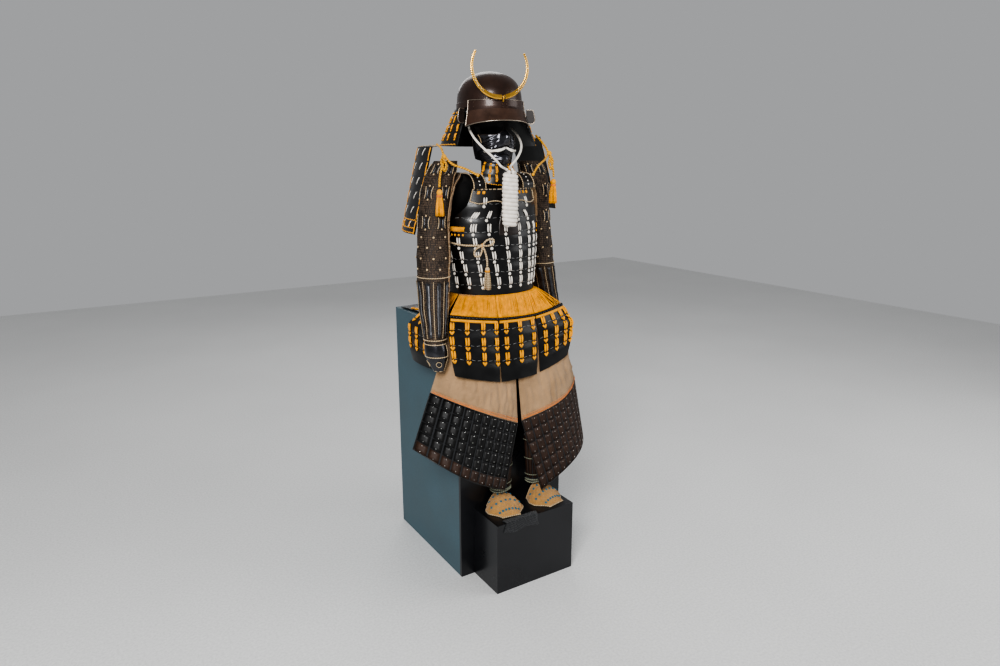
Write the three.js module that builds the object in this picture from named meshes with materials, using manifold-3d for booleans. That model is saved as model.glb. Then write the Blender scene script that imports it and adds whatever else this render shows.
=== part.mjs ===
// Samurai armour standing and seated on a two-step box plinth.
// Millimetres, +Z up. The origin is the centre of the seat box's underside, and the front faces -Y.
// Right and left are the wearer's: the wearer's right is at -X.
import * as THREE from 'three';
import { mergeVertices } from 'three/addons/utils/BufferGeometryUtils.js';
import Module from 'manifold-3d';

const wasm = await Module();
wasm.setup();

// Driving dimensions
const GAP = 0.3;
const SEAT = { width: 440, depth: 510, height: 930, board: 12 };
const FOOT_BOX = { width: 330, depth: 160, height: 265 };
const POST = { size: 40, y: -100, top: 1425 };
const YOKE = { width: 244, depth: 60, height: 24 };
const HEAD = { radius: 58, height: 262 };
const BODY = { y: -110 };
const CUIRASS = { lames: 7, step: 2.4, wall: 2.6, bottom: 1040, armpit: 1285, frontTop: 1402, backTop: 1425 };
const SKIRT = { lames: 4, step: 2.2, wall: 2.4, cordLength: 84, lameLength: 222, bow: 8, seam: 0.7 };
const CLOTH = 2.2;
const STRAP = { x: 99, half: 24, wall: 2.4 };
const HELMET = { x: 0, y: -102, turn: -9, halfWidth: 112, halfDepth: 128, base: 1668, top: 1790, wall: 2.2 };
const SHOULDER_GUARD = { lames: 6, step: 2.4, wall: 2.4 };

const DEG = Math.PI / 180;
const UP = new THREE.Vector3(0, 0, 1);

// Materials
const finish = (color, roughness, metalness = 0) =>
  new THREE.MeshStandardMaterial({ color, roughness, metalness });
const SLATE = finish(0x3d525c, 0.6);
const SATIN_BLACK = finish(0x0c0d10, 0.45);
const LACQUER = finish(0x0d0c0c, 0.3);
const RUSSET = finish(0x2a1a14, 0.35, 0.2);
const IRON = finish(0x1a1b1d, 0.25, 0.5);
const GOLD = finish(0xc98a24, 0.3, 0.9);
const YELLOW = finish(0xd9921e, 0.7);
const WHITE = finish(0xe6ddd0, 0.75);
const MAIL = finish(0x54473a, 0.6, 0.3);
const TAN = finish(0xa58a66, 0.85);
const BROWN = finish(0x3a281c, 0.6);
const QUILT = finish(0xb8954a, 0.85);
const DYED_CLOTH = finish(0x2a2b2c, 0.9);

const group = new THREE.Group();
const vec = (x, y, z) => new THREE.Vector3(x, y, z);
const mix = (a, b, t) => a + (b - a) * t;
const smooth = (t) => t * t * (3 - 2 * t);
const steps = (count) => Array.from({ length: count + 1 }, (_, i) => i / count);

function add(name, geometry, material) {
  const mesh = new THREE.Mesh(geometry, material);
  mesh.name = name;
  group.add(mesh);
  return mesh;
}

function box(name, size, centre, material) {
  add(name, new THREE.BoxGeometry(...size), material).position.set(...centre);
}

// Reads a table of rows, the first column being the key, at any value between its rows.
function interpolate(table, key) {
  const last = table.length - 1;
  const rising = table[last][0] > table[0][0];
  const found = table.findIndex((row) => (rising ? row[0] >= key : row[0] <= key));
  const k = Math.min(Math.max(found < 0 ? last : found, 1), last);
  const t = Math.min(Math.max((key - table[k - 1][0]) / (table[k][0] - table[k - 1][0]), 0), 1);
  return table[k - 1].map((value, i) => mix(value, table[k][i], t));
}

function flipIfInsideOut(positions, index) {
  let volume = 0;
  for (let i = 0; i < index.length; i += 3) {
    const [a, b, c] = [positions[index[i]], positions[index[i + 1]], positions[index[i + 2]]];
    volume += a.dot(b.clone().cross(c));
  }
  if (volume < 0) index.reverse();
}

function geometryOf(positions, index) {
  flipIfInsideOut(positions, index);
  const geometry = new THREE.BufferGeometry();
  const values = positions.flatMap((p) => [p.x, p.y, p.z]);
  geometry.setAttribute('position', new THREE.Float32BufferAttribute(values, 3));
  geometry.setIndex(index);
  geometry.computeVertexNormals();
  return geometry;
}

// A wall between two grids of points, closed round its columns or open like a sheet.
function shell(outer, inner, closed = false) {
  const rows = outer.length;
  const cols = outer[0].length;
  const positions = [...outer.flat(), ...inner.flat()];
  const index = [];
  const face = (a, b, c, d) => index.push(a, b, c, a, c, d);
  const at = (side, i, j) => side * rows * cols + i * cols + (j % cols);
  const across = closed ? cols : cols - 1;
  for (let i = 0; i < rows - 1; i++) {
    for (let j = 0; j < across; j++) {
      face(at(0, i, j), at(0, i, j + 1), at(0, i + 1, j + 1), at(0, i + 1, j));
      face(at(1, i, j), at(1, i + 1, j), at(1, i + 1, j + 1), at(1, i, j + 1));
    }
  }
  for (let j = 0; j < across; j++) {
    face(at(0, 0, j), at(1, 0, j), at(1, 0, j + 1), at(0, 0, j + 1));
    face(at(0, rows - 1, j), at(0, rows - 1, j + 1), at(1, rows - 1, j + 1), at(1, rows - 1, j));
  }
  if (!closed) {
    for (let i = 0; i < rows - 1; i++) {
      face(at(0, i, 0), at(0, i + 1, 0), at(1, i + 1, 0), at(1, i, 0));
      face(at(0, i, cols - 1), at(1, i, cols - 1), at(1, i + 1, cols - 1), at(0, i + 1, cols - 1));
    }
  }
  return geometryOf(positions, index);
}

// A surface gives a point and an outward direction at (u, v). Its wall lies inside it, plus a relief outside.
function wallOn(surface, { us, vs, wall, relief = () => 0, closed = false }) {
  const grid = (depth) => vs.map((v) => us.map((u) => {
    const { point, normal } = surface(u, v);
    return point.clone().addScaledVector(normal, depth(u, v));
  }));
  return shell(grid(relief), grid(() => -wall), closed);
}

// Laced lames: each one starts a step proud of the one above and leans back to its lower edge.
function lameRows(count) {
  const ledge = 0.06 / count;
  const vs = [];
  for (let k = 0; k < count; k++) {
    vs.push(k ? k / count + ledge : 0, k + 1 < count ? (k + 1) / count - ledge : 1);
  }
  return vs;
}

function lameRelief(count, step) {
  return (u, v) => (v >= 1 ? 0 : step * (1 - ((v * count) % 1)));
}

function lames(surface, count, step, wall, us) {
  return wallOn(surface, { us, vs: lameRows(count), wall, relief: lameRelief(count, step) });
}

// A round bar along points, closed at its ends.
function bar(points, radius, { sides = 8, segments = 24, flat = 1 } = {}) {
  const section = new THREE.Shape();
  for (let k = 0; k < sides; k++) {
    const angle = (2 * Math.PI * k) / sides;
    const [x, y] = [radius * Math.cos(angle) * flat, radius * Math.sin(angle)];
    if (k) section.lineTo(x, y);
    else section.moveTo(x, y);
  }
  section.closePath();
  const path = new THREE.CatmullRomCurve3(points.map((p) => vec(...p)));
  return new THREE.ExtrudeGeometry(section, { steps: segments, extrudePath: path, bevelEnabled: false });
}

function solidOf(geometry) {
  const bare = geometry.clone();
  bare.deleteAttribute('normal');
  bare.deleteAttribute('uv');
  const merged = mergeVertices(bare, 1e-4);
  return new wasm.Manifold(new wasm.Mesh({
    numProp: 3,
    vertProperties: new Float32Array(merged.attributes.position.array),
    triVerts: new Uint32Array(merged.index.array),
  }));
}

function geometryFrom(solid) {
  const mesh = solid.getMesh();
  const geometry = new THREE.BufferGeometry();
  geometry.setAttribute('position', new THREE.BufferAttribute(new Float32Array(mesh.vertProperties), 3));
  geometry.setIndex(new THREE.BufferAttribute(new Uint32Array(mesh.triVerts), 1));
  return geometry;
}

function joined(geometries) {
  const [first, ...rest] = geometries.map(solidOf);
  return geometryFrom(rest.reduce((solid, other) => solid.add(other), first));
}

// A knot in a cord: a small rounded ball where its runs meet.
function knotAt([x, y, z], radius) {
  return new THREE.OctahedronGeometry(radius, 1).translate(x, y, z);
}

// Plinth and inner stand
function plinth() {
  const seatDepth = SEAT.depth - SEAT.board - GAP;
  box('seat_box', [SEAT.width, seatDepth, SEAT.height],
    [0, (SEAT.depth - seatDepth) / 2, SEAT.height / 2], SLATE);
  box('seat_front_board', [SEAT.width, SEAT.board, SEAT.height],
    [0, (SEAT.board - SEAT.depth) / 2, SEAT.height / 2], SATIN_BLACK);
  box('foot_box', [FOOT_BOX.width, FOOT_BOX.depth, FOOT_BOX.height],
    [0, -(SEAT.depth + FOOT_BOX.depth) / 2 - GAP, FOOT_BOX.height / 2], SATIN_BLACK);
}

function stand() {
  const postBottom = SEAT.height + GAP;
  box('stand_post', [POST.size, POST.size, POST.top - postBottom],
    [0, POST.y, (POST.top + postBottom) / 2], SATIN_BLACK);
  const yokeBottom = POST.top + GAP;
  box('stand_yoke', [YOKE.width, YOKE.depth, YOKE.height],
    [0, POST.y, yokeBottom + YOKE.height / 2], SATIN_BLACK);
  const headBottom = yokeBottom + YOKE.height + GAP;
  const neck = 30;
  const profile = [vec2(0, 0), vec2(neck, 0), vec2(neck, 40)];
  for (const t of steps(6)) {
    const angle = mix(-0.25, 0.5, t) * Math.PI;
    profile.push(vec2(Math.max(HEAD.radius * Math.cos(angle), 0), HEAD.height - 75 + 75 * Math.sin(angle)));
  }
  add('stand_head', upright(profile, 10), SATIN_BLACK).position.set(0, HELMET.y, headBottom);
}

function vec2(x, y) {
  return new THREE.Vector2(x, y);
}

// A turned solid about +Z from a profile of radius and height.
function upright(profile, sides) {
  return new THREE.LatheGeometry(profile, sides).rotateX(Math.PI / 2);
}

// Helmet
// columns: height above the base as a share of the bowl's height, radius as a share of the base radius
const BOWL_PROFILE = [
  [0, 1], [0.13, 1], [0.15, 0.98], [0.45, 0.955], [0.72, 0.82], [0.91, 0.53], [1, 0],
];

// The helmet is turned a little to the wearer's right about its own upright axis.
const helmetGroup = new THREE.Group();
helmetGroup.position.set(HELMET.x, HELMET.y, 0);
helmetGroup.rotation.z = HELMET.turn * DEG;
group.add(helmetGroup);

function addToHelmet(name, geometry, material) {
  helmetGroup.add(add(name, geometry, material));
}

function dome(shrink, base) {
  const height = HELMET.top - HELMET.base - shrink;
  const profile = BOWL_PROFILE.map(([up, out]) => vec2(out ? out * HELMET.halfDepth - shrink : 0, up * height));
  profile[0].y = base;
  return upright([vec2(0, base), ...profile], 18);
}

function bowl() {
  const hollow = solidOf(dome(0, 0)).subtract(solidOf(dome(HELMET.wall, -5)));
  const geometry = geometryFrom(hollow);
  geometry.scale(HELMET.halfWidth / HELMET.halfDepth, 1, 1).translate(0, 0, HELMET.base);
  addToHelmet('helmet_bowl', geometry, RUSSET);
}

// A point and outward direction on a level ellipse; angle 0 is the front, positive towards the wearer's left.
function ellipse(centreY, halfWidth, halfDepth, angle, z) {
  const point = vec(halfWidth * Math.sin(angle), centreY - halfDepth * Math.cos(angle), z);
  const normal = vec(Math.sin(angle) / halfWidth, -Math.cos(angle) / halfDepth, 0).normalize();
  return { point, normal };
}

const BROW = { turn: 62, top: 1692, side: 1606, rise: 18, reach: 30, clear: 4.4 };

// The brow plate hugs the bowl above and runs out into a peak, lower at its sides than over the face.
function browPlate() {
  const surface = (u, v) => {
    const angle = u * BROW.turn * DEG;
    const low = BROW.side + BROW.rise * (1 - u * u);
    const z = mix(BROW.top, low, v);
    const below = Math.max(HELMET.base + 4 - z, 0) / (HELMET.base + 4 - low);
    const out = BROW.clear + BROW.reach * (1 - 0.55 * u * u) * below ** 1.3;
    const shrink = z > HELMET.base ? 0.035 * HELMET.halfDepth * ((z - HELMET.base) / 50) : 0;
    return ellipse(0, HELMET.halfWidth + out - shrink, HELMET.halfDepth + out - shrink, angle, z);
  };
  const us = steps(12).map((t) => 2 * t - 1);
  addToHelmet('brow_plate', wallOn(surface, { us, vs: steps(5), wall: 2.2 }), RUSSET);
}

const CREST = { x: -19, prong: -6, y: -138, bottom: 1697, halfWidth: 98, radius: 92, reach: 120, thick: 14, flat: 0.42 };

// The crest is a crescent: a thick bar round an open circle, slimmer to its two tips.
function crest() {
  const rows = steps(24).map((t) => {
    const angle = mix(-CREST.reach, CREST.reach, t) * DEG;
    const slim = mix(1, 0.42, Math.abs(2 * t - 1) ** 1.2);
    const out = vec(Math.sin(angle), 0, -Math.cos(angle));
    const middle = vec(CREST.x + out.x * CREST.halfWidth, CREST.y, CREST.bottom + CREST.radius * (1 + out.z));
    return { middle, out, half: CREST.thick * slim / 2 };
  });
  const sides = 6;
  const ringAt = (row, size) => Array.from({ length: sides }, (_, k) => {
    const turn = (2 * Math.PI * k) / sides;
    return row.middle.clone().addScaledVector(row.out, row.half * size * Math.cos(turn))
      .add(vec(0, row.half * size * CREST.flat * Math.sin(turn), 0));
  });
  const prong = bar([[CREST.prong, CREST.y + 3.4, CREST.bottom - 14], [CREST.prong, CREST.y, CREST.bottom + 2]], 3,
    { sides: 6, segments: 1 });
  addToHelmet('crest', joined([capTube(rows.map((row) => ringAt(row, 1))), prong]), GOLD);
}

// A solid tube through rings of points, with a flat fan at each end.
function capTube(rings) {
  const sides = rings[0].length;
  const positions = rings.flat();
  const index = [];
  for (let i = 0; i < rings.length - 1; i++) {
    for (let k = 0; k < sides; k++) {
      const [a, b] = [i * sides + k, i * sides + ((k + 1) % sides)];
      index.push(a, b, b + sides, a, b + sides, a + sides);
    }
  }
  const fan = (first, turned) => {
    for (let k = 1; k < sides - 1; k++) {
      const [b, c] = turned ? [first + k, first + k + 1] : [first + k + 1, first + k];
      index.push(first, b, c);
    }
  };
  fan(0, false);
  fan((rings.length - 1) * sides, true);
  return geometryOf(positions, index);
}

// The neck guard is four flaring lames from ear to ear, each one outside the lame above.
const NECK = { lames: 4, step: 3, wall: 2.4, top: 1664, bottom: 1546, turn: 113.5, reach: 3, flare: 58 };

function neckGuard() {
  const surface = (u, v) => {
    const angle = (180 + u * NECK.turn) * DEG;
    const out = NECK.reach + NECK.flare * v * (1 - 0.25 * Math.abs(u) ** 3);
    return ellipse(0, HELMET.halfWidth + out, HELMET.halfDepth + out, angle, mix(NECK.top, NECK.bottom, v));
  };
  const us = steps(14).map((t) => 2 * t - 1);
  addToHelmet('neck_guard', lames(surface, NECK.lames, NECK.step, NECK.wall, us), LACQUER);
}

// Each turn-back is a small rounded plate that folds outwards at the front end of the top lame.
const TURNBACK = { turn: 65.3, start: 13, width: 30, top: 1664, low: 1618 };

function turnBacks() {
  for (const [side, name] of [[-1, 'right'], [1, 'left']]) {
    const turn = side * TURNBACK.turn * DEG;
    const out = vec(Math.sin(turn), -Math.cos(turn), 0);
    const forward = vec(-side * Math.cos(turn), -side * Math.sin(turn), 0);
    const surface = (u, v) => {
      const hinge = ellipse(0, HELMET.halfWidth, HELMET.halfDepth, turn, 0).point;
      const reach = TURNBACK.start + v * TURNBACK.width * (1 - 0.25 * (2 * u - 1) ** 2);
      const height = mix(TURNBACK.top, TURNBACK.low, u) - 8 * Math.sin(Math.PI * u) * v;
      return { point: hinge.addScaledVector(out, reach).setZ(height), normal: forward };
    };
    addToHelmet(`turnback_${name}`, wallOn(surface, { us: steps(6), vs: steps(3), wall: 2.4 }), RUSSET);
  }
}

// Face
const MASK = { y: -104, halfWidth: 79, halfDepth: 98, turn: 82, wall: 2.4, nose: 1598, cheek: 1580, jaw: 1484 };

// The half mask covers the nose, cheeks and chin. The nose stands out along the middle of the upper half.
function maskSurface(u, v) {
  const turn = u * MASK.turn * DEG;
  const middle = Math.exp(-((u / 0.16) ** 2));
  const z = mix(mix(MASK.cheek, MASK.nose, middle), MASK.jaw + 16 * u * u, v);
  const taper = mix(1, 0.84, v * v);
  const base = ellipse(MASK.y, MASK.halfWidth * taper, MASK.halfDepth * mix(1, 0.97, v), turn, z);
  const nose = 26 * Math.exp(-((u / 0.13) ** 2)) * Math.max(Math.sin(Math.PI * Math.min(v / 0.5, 1)), 0) ** 0.8;
  const cheek = 7 * Math.exp(-(((Math.abs(u) - 0.42) / 0.18) ** 2)) * Math.sin(Math.PI * Math.min(v / 0.7, 1));
  const lips = -7 * Math.exp(-((u / 0.24) ** 2)) * Math.exp(-(((v - 0.64) / 0.06) ** 2));
  const chin = 9 * Math.exp(-((u / 0.22) ** 2)) * Math.exp(-(((v - 0.86) / 0.12) ** 2));
  base.point.addScaledVector(base.normal, nose + cheek + lips + chin);
  return base;
}

function mask() {
  const us = steps(18).map((t) => 2 * t - 1);
  add('face_mask', wallOn(maskSurface, { us, vs: steps(9), wall: MASK.wall }), IRON);
  const rings = steps(8).map((t) => {
    const u = mix(-0.36, 0.36, t);
    const { point, normal } = maskSurface(u, 0.52 + 0.5 * u * u);
    const half = mix(7, 3, Math.abs(2 * t - 1) ** 2);
    const centre = point.clone().addScaledVector(normal, 8);
    return Array.from({ length: 6 }, (_, k) => {
      const turn = (Math.PI * k) / 3;
      return centre.clone().addScaledVector(UP, half * Math.cos(turn) - 2)
        .addScaledVector(normal, 3.4 * Math.sin(turn));
    });
  });
  add('moustache', capTube(rings), WHITE);
}

const THROAT = { top: 1497, bottom: 1412, turn: 56, wall: 2.2, flare: 26, lames: 3, step: 2 };

function throatGuard() {
  const surface = (u, v) => {
    const out = THROAT.flare * v - 4.5;
    return ellipse(MASK.y, MASK.halfWidth * 0.84 + out * 1.5, MASK.halfDepth * 0.95 + out * 0.4 - 8 * (1 - v),
      u * THROAT.turn * DEG, mix(THROAT.top, THROAT.bottom, v) + 14 * u * u * v);
  };
  const us = steps(10).map((t) => 2 * t - 1);
  add('throat_guard', lames(surface, THROAT.lames, THROAT.step, THROAT.wall, us), LACQUER);
}

const CHIN_CORD = { radius: 3.6, bundle: 30, depth: 19, length: 186, x: -20, y: -268, top: 1462 };

function chinCord() {
  for (const [side, name] of [[-1, 'right'], [1, 'left']]) {
    const points = steps(7).map((t) => {
      const turn = side * mix(1.06, 0.14, t);
      const z = mix(1606, CHIN_CORD.top + 14, t ** 1.05);
      const taper = mix(1, 0.9, t);
      const out = CHIN_CORD.radius + 4 + 12 * t + 16 * Math.sin(Math.PI * t);
      const { point, normal } = ellipse(MASK.y, MASK.halfWidth * taper, MASK.halfDepth * taper,
        turn * MASK.turn * DEG, z);
      return point.addScaledVector(normal, out).toArray();
    });
    const last = [CHIN_CORD.x + side * 10, CHIN_CORD.y + 4, CHIN_CORD.top + 4];
    add(`chin_cord_${name}`, bar([...points, last], CHIN_CORD.radius, { sides: 6, segments: 12 }), WHITE);
  }
  const rows = steps(13).map((t) => {
    const turns = 1 + 0.035 * Math.sin(26 * Math.PI * t);
    const round = 1 - 0.35 * (2 * t - 1) ** 8;
    return { z: CHIN_CORD.top - t * CHIN_CORD.length, size: turns * round, shift: 6 * t };
  });
  const rings = rows.map(({ z, size, shift }) => Array.from({ length: 10 }, (_, k) => {
    const turn = (2 * Math.PI * k) / 10;
    return vec(CHIN_CORD.x + shift * 0.4 + CHIN_CORD.bundle * size * Math.cos(turn),
      CHIN_CORD.y + shift + CHIN_CORD.depth * size * Math.sin(turn), z);
  }));
  add('chin_cord_bundle', capTube(rings), WHITE);
}

// Cuirass
// columns: height, half of the panel's turn in degrees, half width, half depth
const FRONT_ROWS = [
  [CUIRASS.frontTop, 45, 168, 108], [1345, 53, 172, 116], [CUIRASS.armpit, 86, 175, 122],
  [1268, 89.9, 176, 124], [1200, 89.9, 175, 128], [1120, 89.9, 169, 130], [CUIRASS.bottom, 89.9, 163, 128],
];
const BACK_ROWS = [
  [CUIRASS.backTop, 48, 168, 110], [1345, 56, 172, 116], [CUIRASS.armpit, 86, 175, 122],
  [1268, 89.9, 176, 124], [1200, 89.9, 175, 128], [1120, 89.9, 169, 130], [CUIRASS.bottom, 89.9, 163, 128],
];

function cuirassSurface(rows, facing) {
  return (u, v) => {
    const z = mix(rows[0][0], CUIRASS.bottom, v);
    const [, turn, halfWidth, halfDepth] = interpolate(rows, z);
    return ellipse(BODY.y, halfWidth, halfDepth, facing + u * turn * DEG, z);
  };
}

function cuirass() {
  const us = steps(12).map((t) => 2 * t - 1);
  const { lames: count, step, wall } = CUIRASS;
  add('cuirass_front', lames(cuirassSurface(FRONT_ROWS, 0), count, step, wall, us), LACQUER);
  add('cuirass_back', lames(cuirassSurface(BACK_ROWS, Math.PI), count, step, wall, us), LACQUER);
}

// columns: depth position, height
const STRAP_LINE = [
  [-203, 1403], [-198, 1425], [-176, 1446], [-140, 1452.6], [-60, 1452.6], [-32, 1447], [-19, 1434], [-16, 1427.5],
];

function shoulderStraps() {
  for (const [side, name] of [[-1, 'right'], [1, 'left']]) {
    const surface = (u, v) => {
      const at = (t) => interpolate(STRAP_LINE.map(([y, z], i) => [i, y, z]), t * (STRAP_LINE.length - 1));
      const [, y, z] = at(v);
      const [, y0, z0] = at(Math.max(v - 0.02, 0));
      const [, y1, z1] = at(Math.min(v + 0.02, 1));
      const normal = vec(0, -(z1 - z0), y1 - y0).normalize();
      return { point: vec(side * (STRAP.x + STRAP.half * u), y, z), normal };
    };
    add(`shoulder_strap_${name}`, wallOn(surface, { us: [-1, 1], vs: steps(10), wall: STRAP.wall }), LACQUER);
  }
}

// A tassel: a bound head and strands under it, in one piece.
function tassel(name, [x, y, z], { headRadius, headLength, strand, rings }, material) {
  const profile = [vec2(0, -headLength), vec2(headRadius * 0.95, -headLength),
    vec2(headRadius, -headLength * 0.3), vec2(headRadius * 0.6, 2), vec2(0, 2)];
  let solid = solidOf(upright(profile, 8));
  for (const [radius, count] of rings) {
    for (let k = 0; k < count; k++) {
      const turn = (2 * Math.PI * k) / count;
      const [out, side] = [vec(Math.cos(turn), Math.sin(turn), 0), vec(-Math.sin(turn), Math.cos(turn), 0)];
      const section = (height, spread, width) => [[1, 0], [-0.6, 1], [-0.6, -1]].map(([a, b]) =>
        out.clone().multiplyScalar(spread + a * width).addScaledVector(side, b * width).setZ(height));
      const end = -headLength - strand * (1 - 0.06 * ((k * 7) % 5));
      const root = section(-headLength * 0.7, radius * 0.8, 1);
      solid = solid.add(solidOf(capTube([root, section(end, radius * 1.25, 1.1)])));
    }
  }
  add(name, geometryFrom(solid), material).position.set(x, y, z);
}

// Turns a function of (u, v) giving points into a surface whose normals face away from a core point.
function surfaceOf(pointAt, core) {
  const d = 1e-3;
  return (u, v) => {
    const point = pointAt(u, v);
    const across = pointAt(u + d, v).sub(pointAt(u - d, v));
    const down = pointAt(u, Math.min(v + d, 1)).sub(pointAt(u, Math.max(v - d, 0)));
    const normal = across.cross(down).normalize();
    if (normal.dot(point.clone().sub(core)) < 0) normal.negate();
    return { point, normal };
  };
}

// Waist cord: round the front of the cuirass to a bow, with a hanging end in a tassel
function waistCord() {
  const front = cuirassSurface(FRONT_ROWS, 0);
  const on = (turn, z, out) => {
    const { point, normal } = front(turn / 90, (CUIRASS.frontTop - z) / (CUIRASS.frontTop - CUIRASS.bottom));
    return point.addScaledVector(normal, out).toArray();
  };
  const out = CUIRASS.step + 3.6;
  const knot = on(-35, 1214, out + 1);
  const runs = [
    [on(-86, 1222, out), on(-70, 1218, out), on(-56, 1214, out), on(-44, 1214, out), knot],
    [knot, on(-29, 1232, out + 3), on(-22, 1234, out + 3), on(-22, 1220, out + 2), on(-28, 1213, out), knot],
    [knot, on(-43, 1200, out + 2), on(-44, 1180, out + 3), on(-38, 1180, out + 3), on(-35, 1200, out), knot],
    [knot, on(-32, 1196, out + 2), on(-30, 1166, out + 3), on(-30, 1143, out + 4)],
  ];
  const bars = runs.map((points) => bar(points, 2.6, { sides: 5, segments: 8 }));
  add('waist_cord', joined([knotAt(knot, 5.5), ...bars]), TAN);
  tassel('waist_tassel', on(-30, 1140, out + 5),
    { headRadius: 7, headLength: 16, strand: 62, rings: [[5, 9], [2, 4]] }, TAN);
}

// Skirt
// Each panel has two edges. An edge starts at a turn round the cuirass's lower rim, then passes three marks:
// the cords' lower end, the bend beside the seat box, and the lower edge. The back panels lie on the box.
// The last pair says how much the panel narrows towards its lower corner at each edge.
const SKIRT_PANELS = {
  front: [[-20.5, [-68, -270, 966], [-72, -281, 905], [-82, -313, 749]],
    [30, [82, -266, 962], [86, -282, 905], [74, -308, 752]], [0, 0.06]],
  front_right: [[-21.5, [-73, -269, 966], [-78, -281, 905], [-89, -313, 750]],
    [-71, [-240, -236, 990], [-268, -280, 926], [-264, -294, 796]], [0, 0.1]],
  front_left: [[31, [87, -265, 962], [92, -281, 905], [86, -305, 756]],
    [80, [230, -232, 980], [248, -279, 920], [240, -286, 800]], [0, 0.24]],
  hip_right: [[-73, [-228, -188, 980], [-255, -180, 918], [-254, -170, 776]],
    [-122, [-206, -22, 984], [-282, 6, 922], [-274, 30, 784]], [0.25, 0.3]],
  hip_left: [[82, [228, -184, 978], [256, -182, 918], [250, -172, 780]],
    [132, [200, -10, 976], [258, 20, 918], [254, 42, 786]], [0.3, 0.3]],
  back_right: [[-124, [-168, 4, 978], [-192, 60, 938], [-214, 216, 936]],
    [-174.6, [-12, 66, 974], [-10, 112, 938], [-6, 244, 936]], [0, 0]],
  back_left: [[134, [166, 12, 978], [192, 66, 938], [214, 218, 936]],
    [185, [-4, 67, 974], [-4, 112, 938], [0, 244, 936]], [0, 0]],
};
const SKIRT_MARKS = [0, SKIRT.cordLength, 150, SKIRT.cordLength + SKIRT.lameLength];

function skirtPoint([first, second, narrowing], u, s) {
  const low = Math.max((s - SKIRT_MARKS[2]) / (SKIRT_MARKS[3] - SKIRT_MARKS[2]), 0);
  const share = 0.5 + (u / 2) * (1 - narrowing[u < 0 ? 0 : 1] * low ** 2.5);
  const turn = mix(first[0], second[0], share) * DEG;
  const rim = ellipse(BODY.y, 163, 128, turn, CUIRASS.bottom - 0.6);
  const out = vec(Math.sin(turn), -Math.cos(turn), 0);
  const marks = [1, 2, 3].map((k) => vec(...first[k]).lerp(vec(...second[k]), share)
    .addScaledVector(out, SKIRT.bow * (1 - u * u)));
  const line = [rim.point.addScaledVector(rim.normal, 1), ...marks];
  const [, x, y, z] = interpolate(line.map((p, k) => [SKIRT_MARKS[k], p.x, p.y, p.z]), s);
  return vec(x, y, z);
}

function skirt() {
  const total = SKIRT.cordLength + SKIRT.lameLength;
  for (const [name, edges] of Object.entries(SKIRT_PANELS)) {
    const core = vec(0, BODY.y, name.startsWith('back') ? 800 : 940);
    const cords = surfaceOf((u, v) => skirtPoint(edges, u, v * (SKIRT.cordLength - SKIRT.seam)), core);
    const ribs = 9;
    const us = steps(ribs * 2).map((t) => 2 * t - 1);
    const relief = (u) => (Math.round((u + 1) * ribs) % 2 ? 2.4 : 0.4);
    add(`skirt_cords_${name}`, wallOn(cords, { us, vs: steps(1), wall: 1.4, relief }), YELLOW);
    const plates = surfaceOf((u, v) => skirtPoint(edges, u, mix(SKIRT.cordLength + SKIRT.seam, total, v)), core);
    const columns = steps(5).map((t) => 2 * t - 1);
    add(`skirt_${name}`, lames(plates, SKIRT.lames, SKIRT.step, SKIRT.wall, columns), LACQUER);
  }
}

// Armoured sleeves
// columns: height, centre x, centre y, half width, half depth; x is mirrored for the wearer's right
const SLEEVE_ROWS = {
  right: [
    [1494, 172, -98, 38, 44], [1440, 200, -102, 50, 54], [1370, 220, -108, 52, 55], [1290, 234, -116, 51, 54],
    [1190, 242, -128, 57, 58], [1100, 254, -146, 55, 56], [1010, 271, -179, 48, 49], [945, 287, -214, 41, 42],
    [908, 297, -236, 35, 36],
  ],
  left: [
    [1494, 172, -98, 38, 44], [1440, 198, -92, 50, 54], [1370, 214, -80, 51, 54], [1290, 228, -66, 50, 53],
    [1190, 244, -58, 55, 57], [1100, 260, -52, 54, 55], [1010, 284, -48, 48, 49], [945, 308, -46, 41, 42],
    [905, 322, -46, 35, 36],
  ],
};

function sleeve(side, name) {
  const rows = SLEEVE_ROWS[name];
  const pointAt = (u, v) => {
    const z = mix(rows[0][0], rows[rows.length - 1][0], v);
    const [, x, y, halfWidth, halfDepth] = interpolate(rows, z);
    const turn = u * 2 * Math.PI;
    const slack = 1.6 * Math.sin(v * 46 + 2 * Math.cos(turn)) * Math.cos(turn - 0.6);
    return vec(side * x + (halfWidth + slack) * Math.cos(turn), y + (halfDepth + slack) * Math.sin(turn), z);
  };
  const around = 12;
  const us = steps(around).slice(0, -1);
  const surface = (u, v) => {
    const turn = u * 2 * Math.PI;
    return { point: pointAt(u, v), normal: vec(Math.cos(turn), Math.sin(turn), 0) };
  };
  add(`sleeve_${name}`, wallOn(surface, { us, vs: steps(14), wall: CLOTH, closed: true }), MAIL);
  const [low, x, y, halfWidth, halfDepth] = rows[rows.length - 1];
  const hand = (u, v) => {
    const turn = mix(-1.1, 1.1, u) * Math.PI / 2 + (side < 0 ? Math.PI : 0) + side * -0.5;
    const out = mix(1.02, 1.16, Math.sin(Math.PI * Math.min(v * 1.3, 1))) - 0.5 * v ** 3;
    const lean = vec(-side * 6 * v, -10 * v, 0);
    return { point: vec(side * x + halfWidth * out * Math.cos(turn), y + halfDepth * out * Math.sin(turn),
      low - GAP - 0.4 - 98 * v).add(lean), normal: vec(Math.cos(turn), Math.sin(turn), 0) };
  };
  add(`hand_guard_${name}`, wallOn(hand, { us: steps(6), vs: steps(5), wall: CLOTH }), IRON);
}

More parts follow.
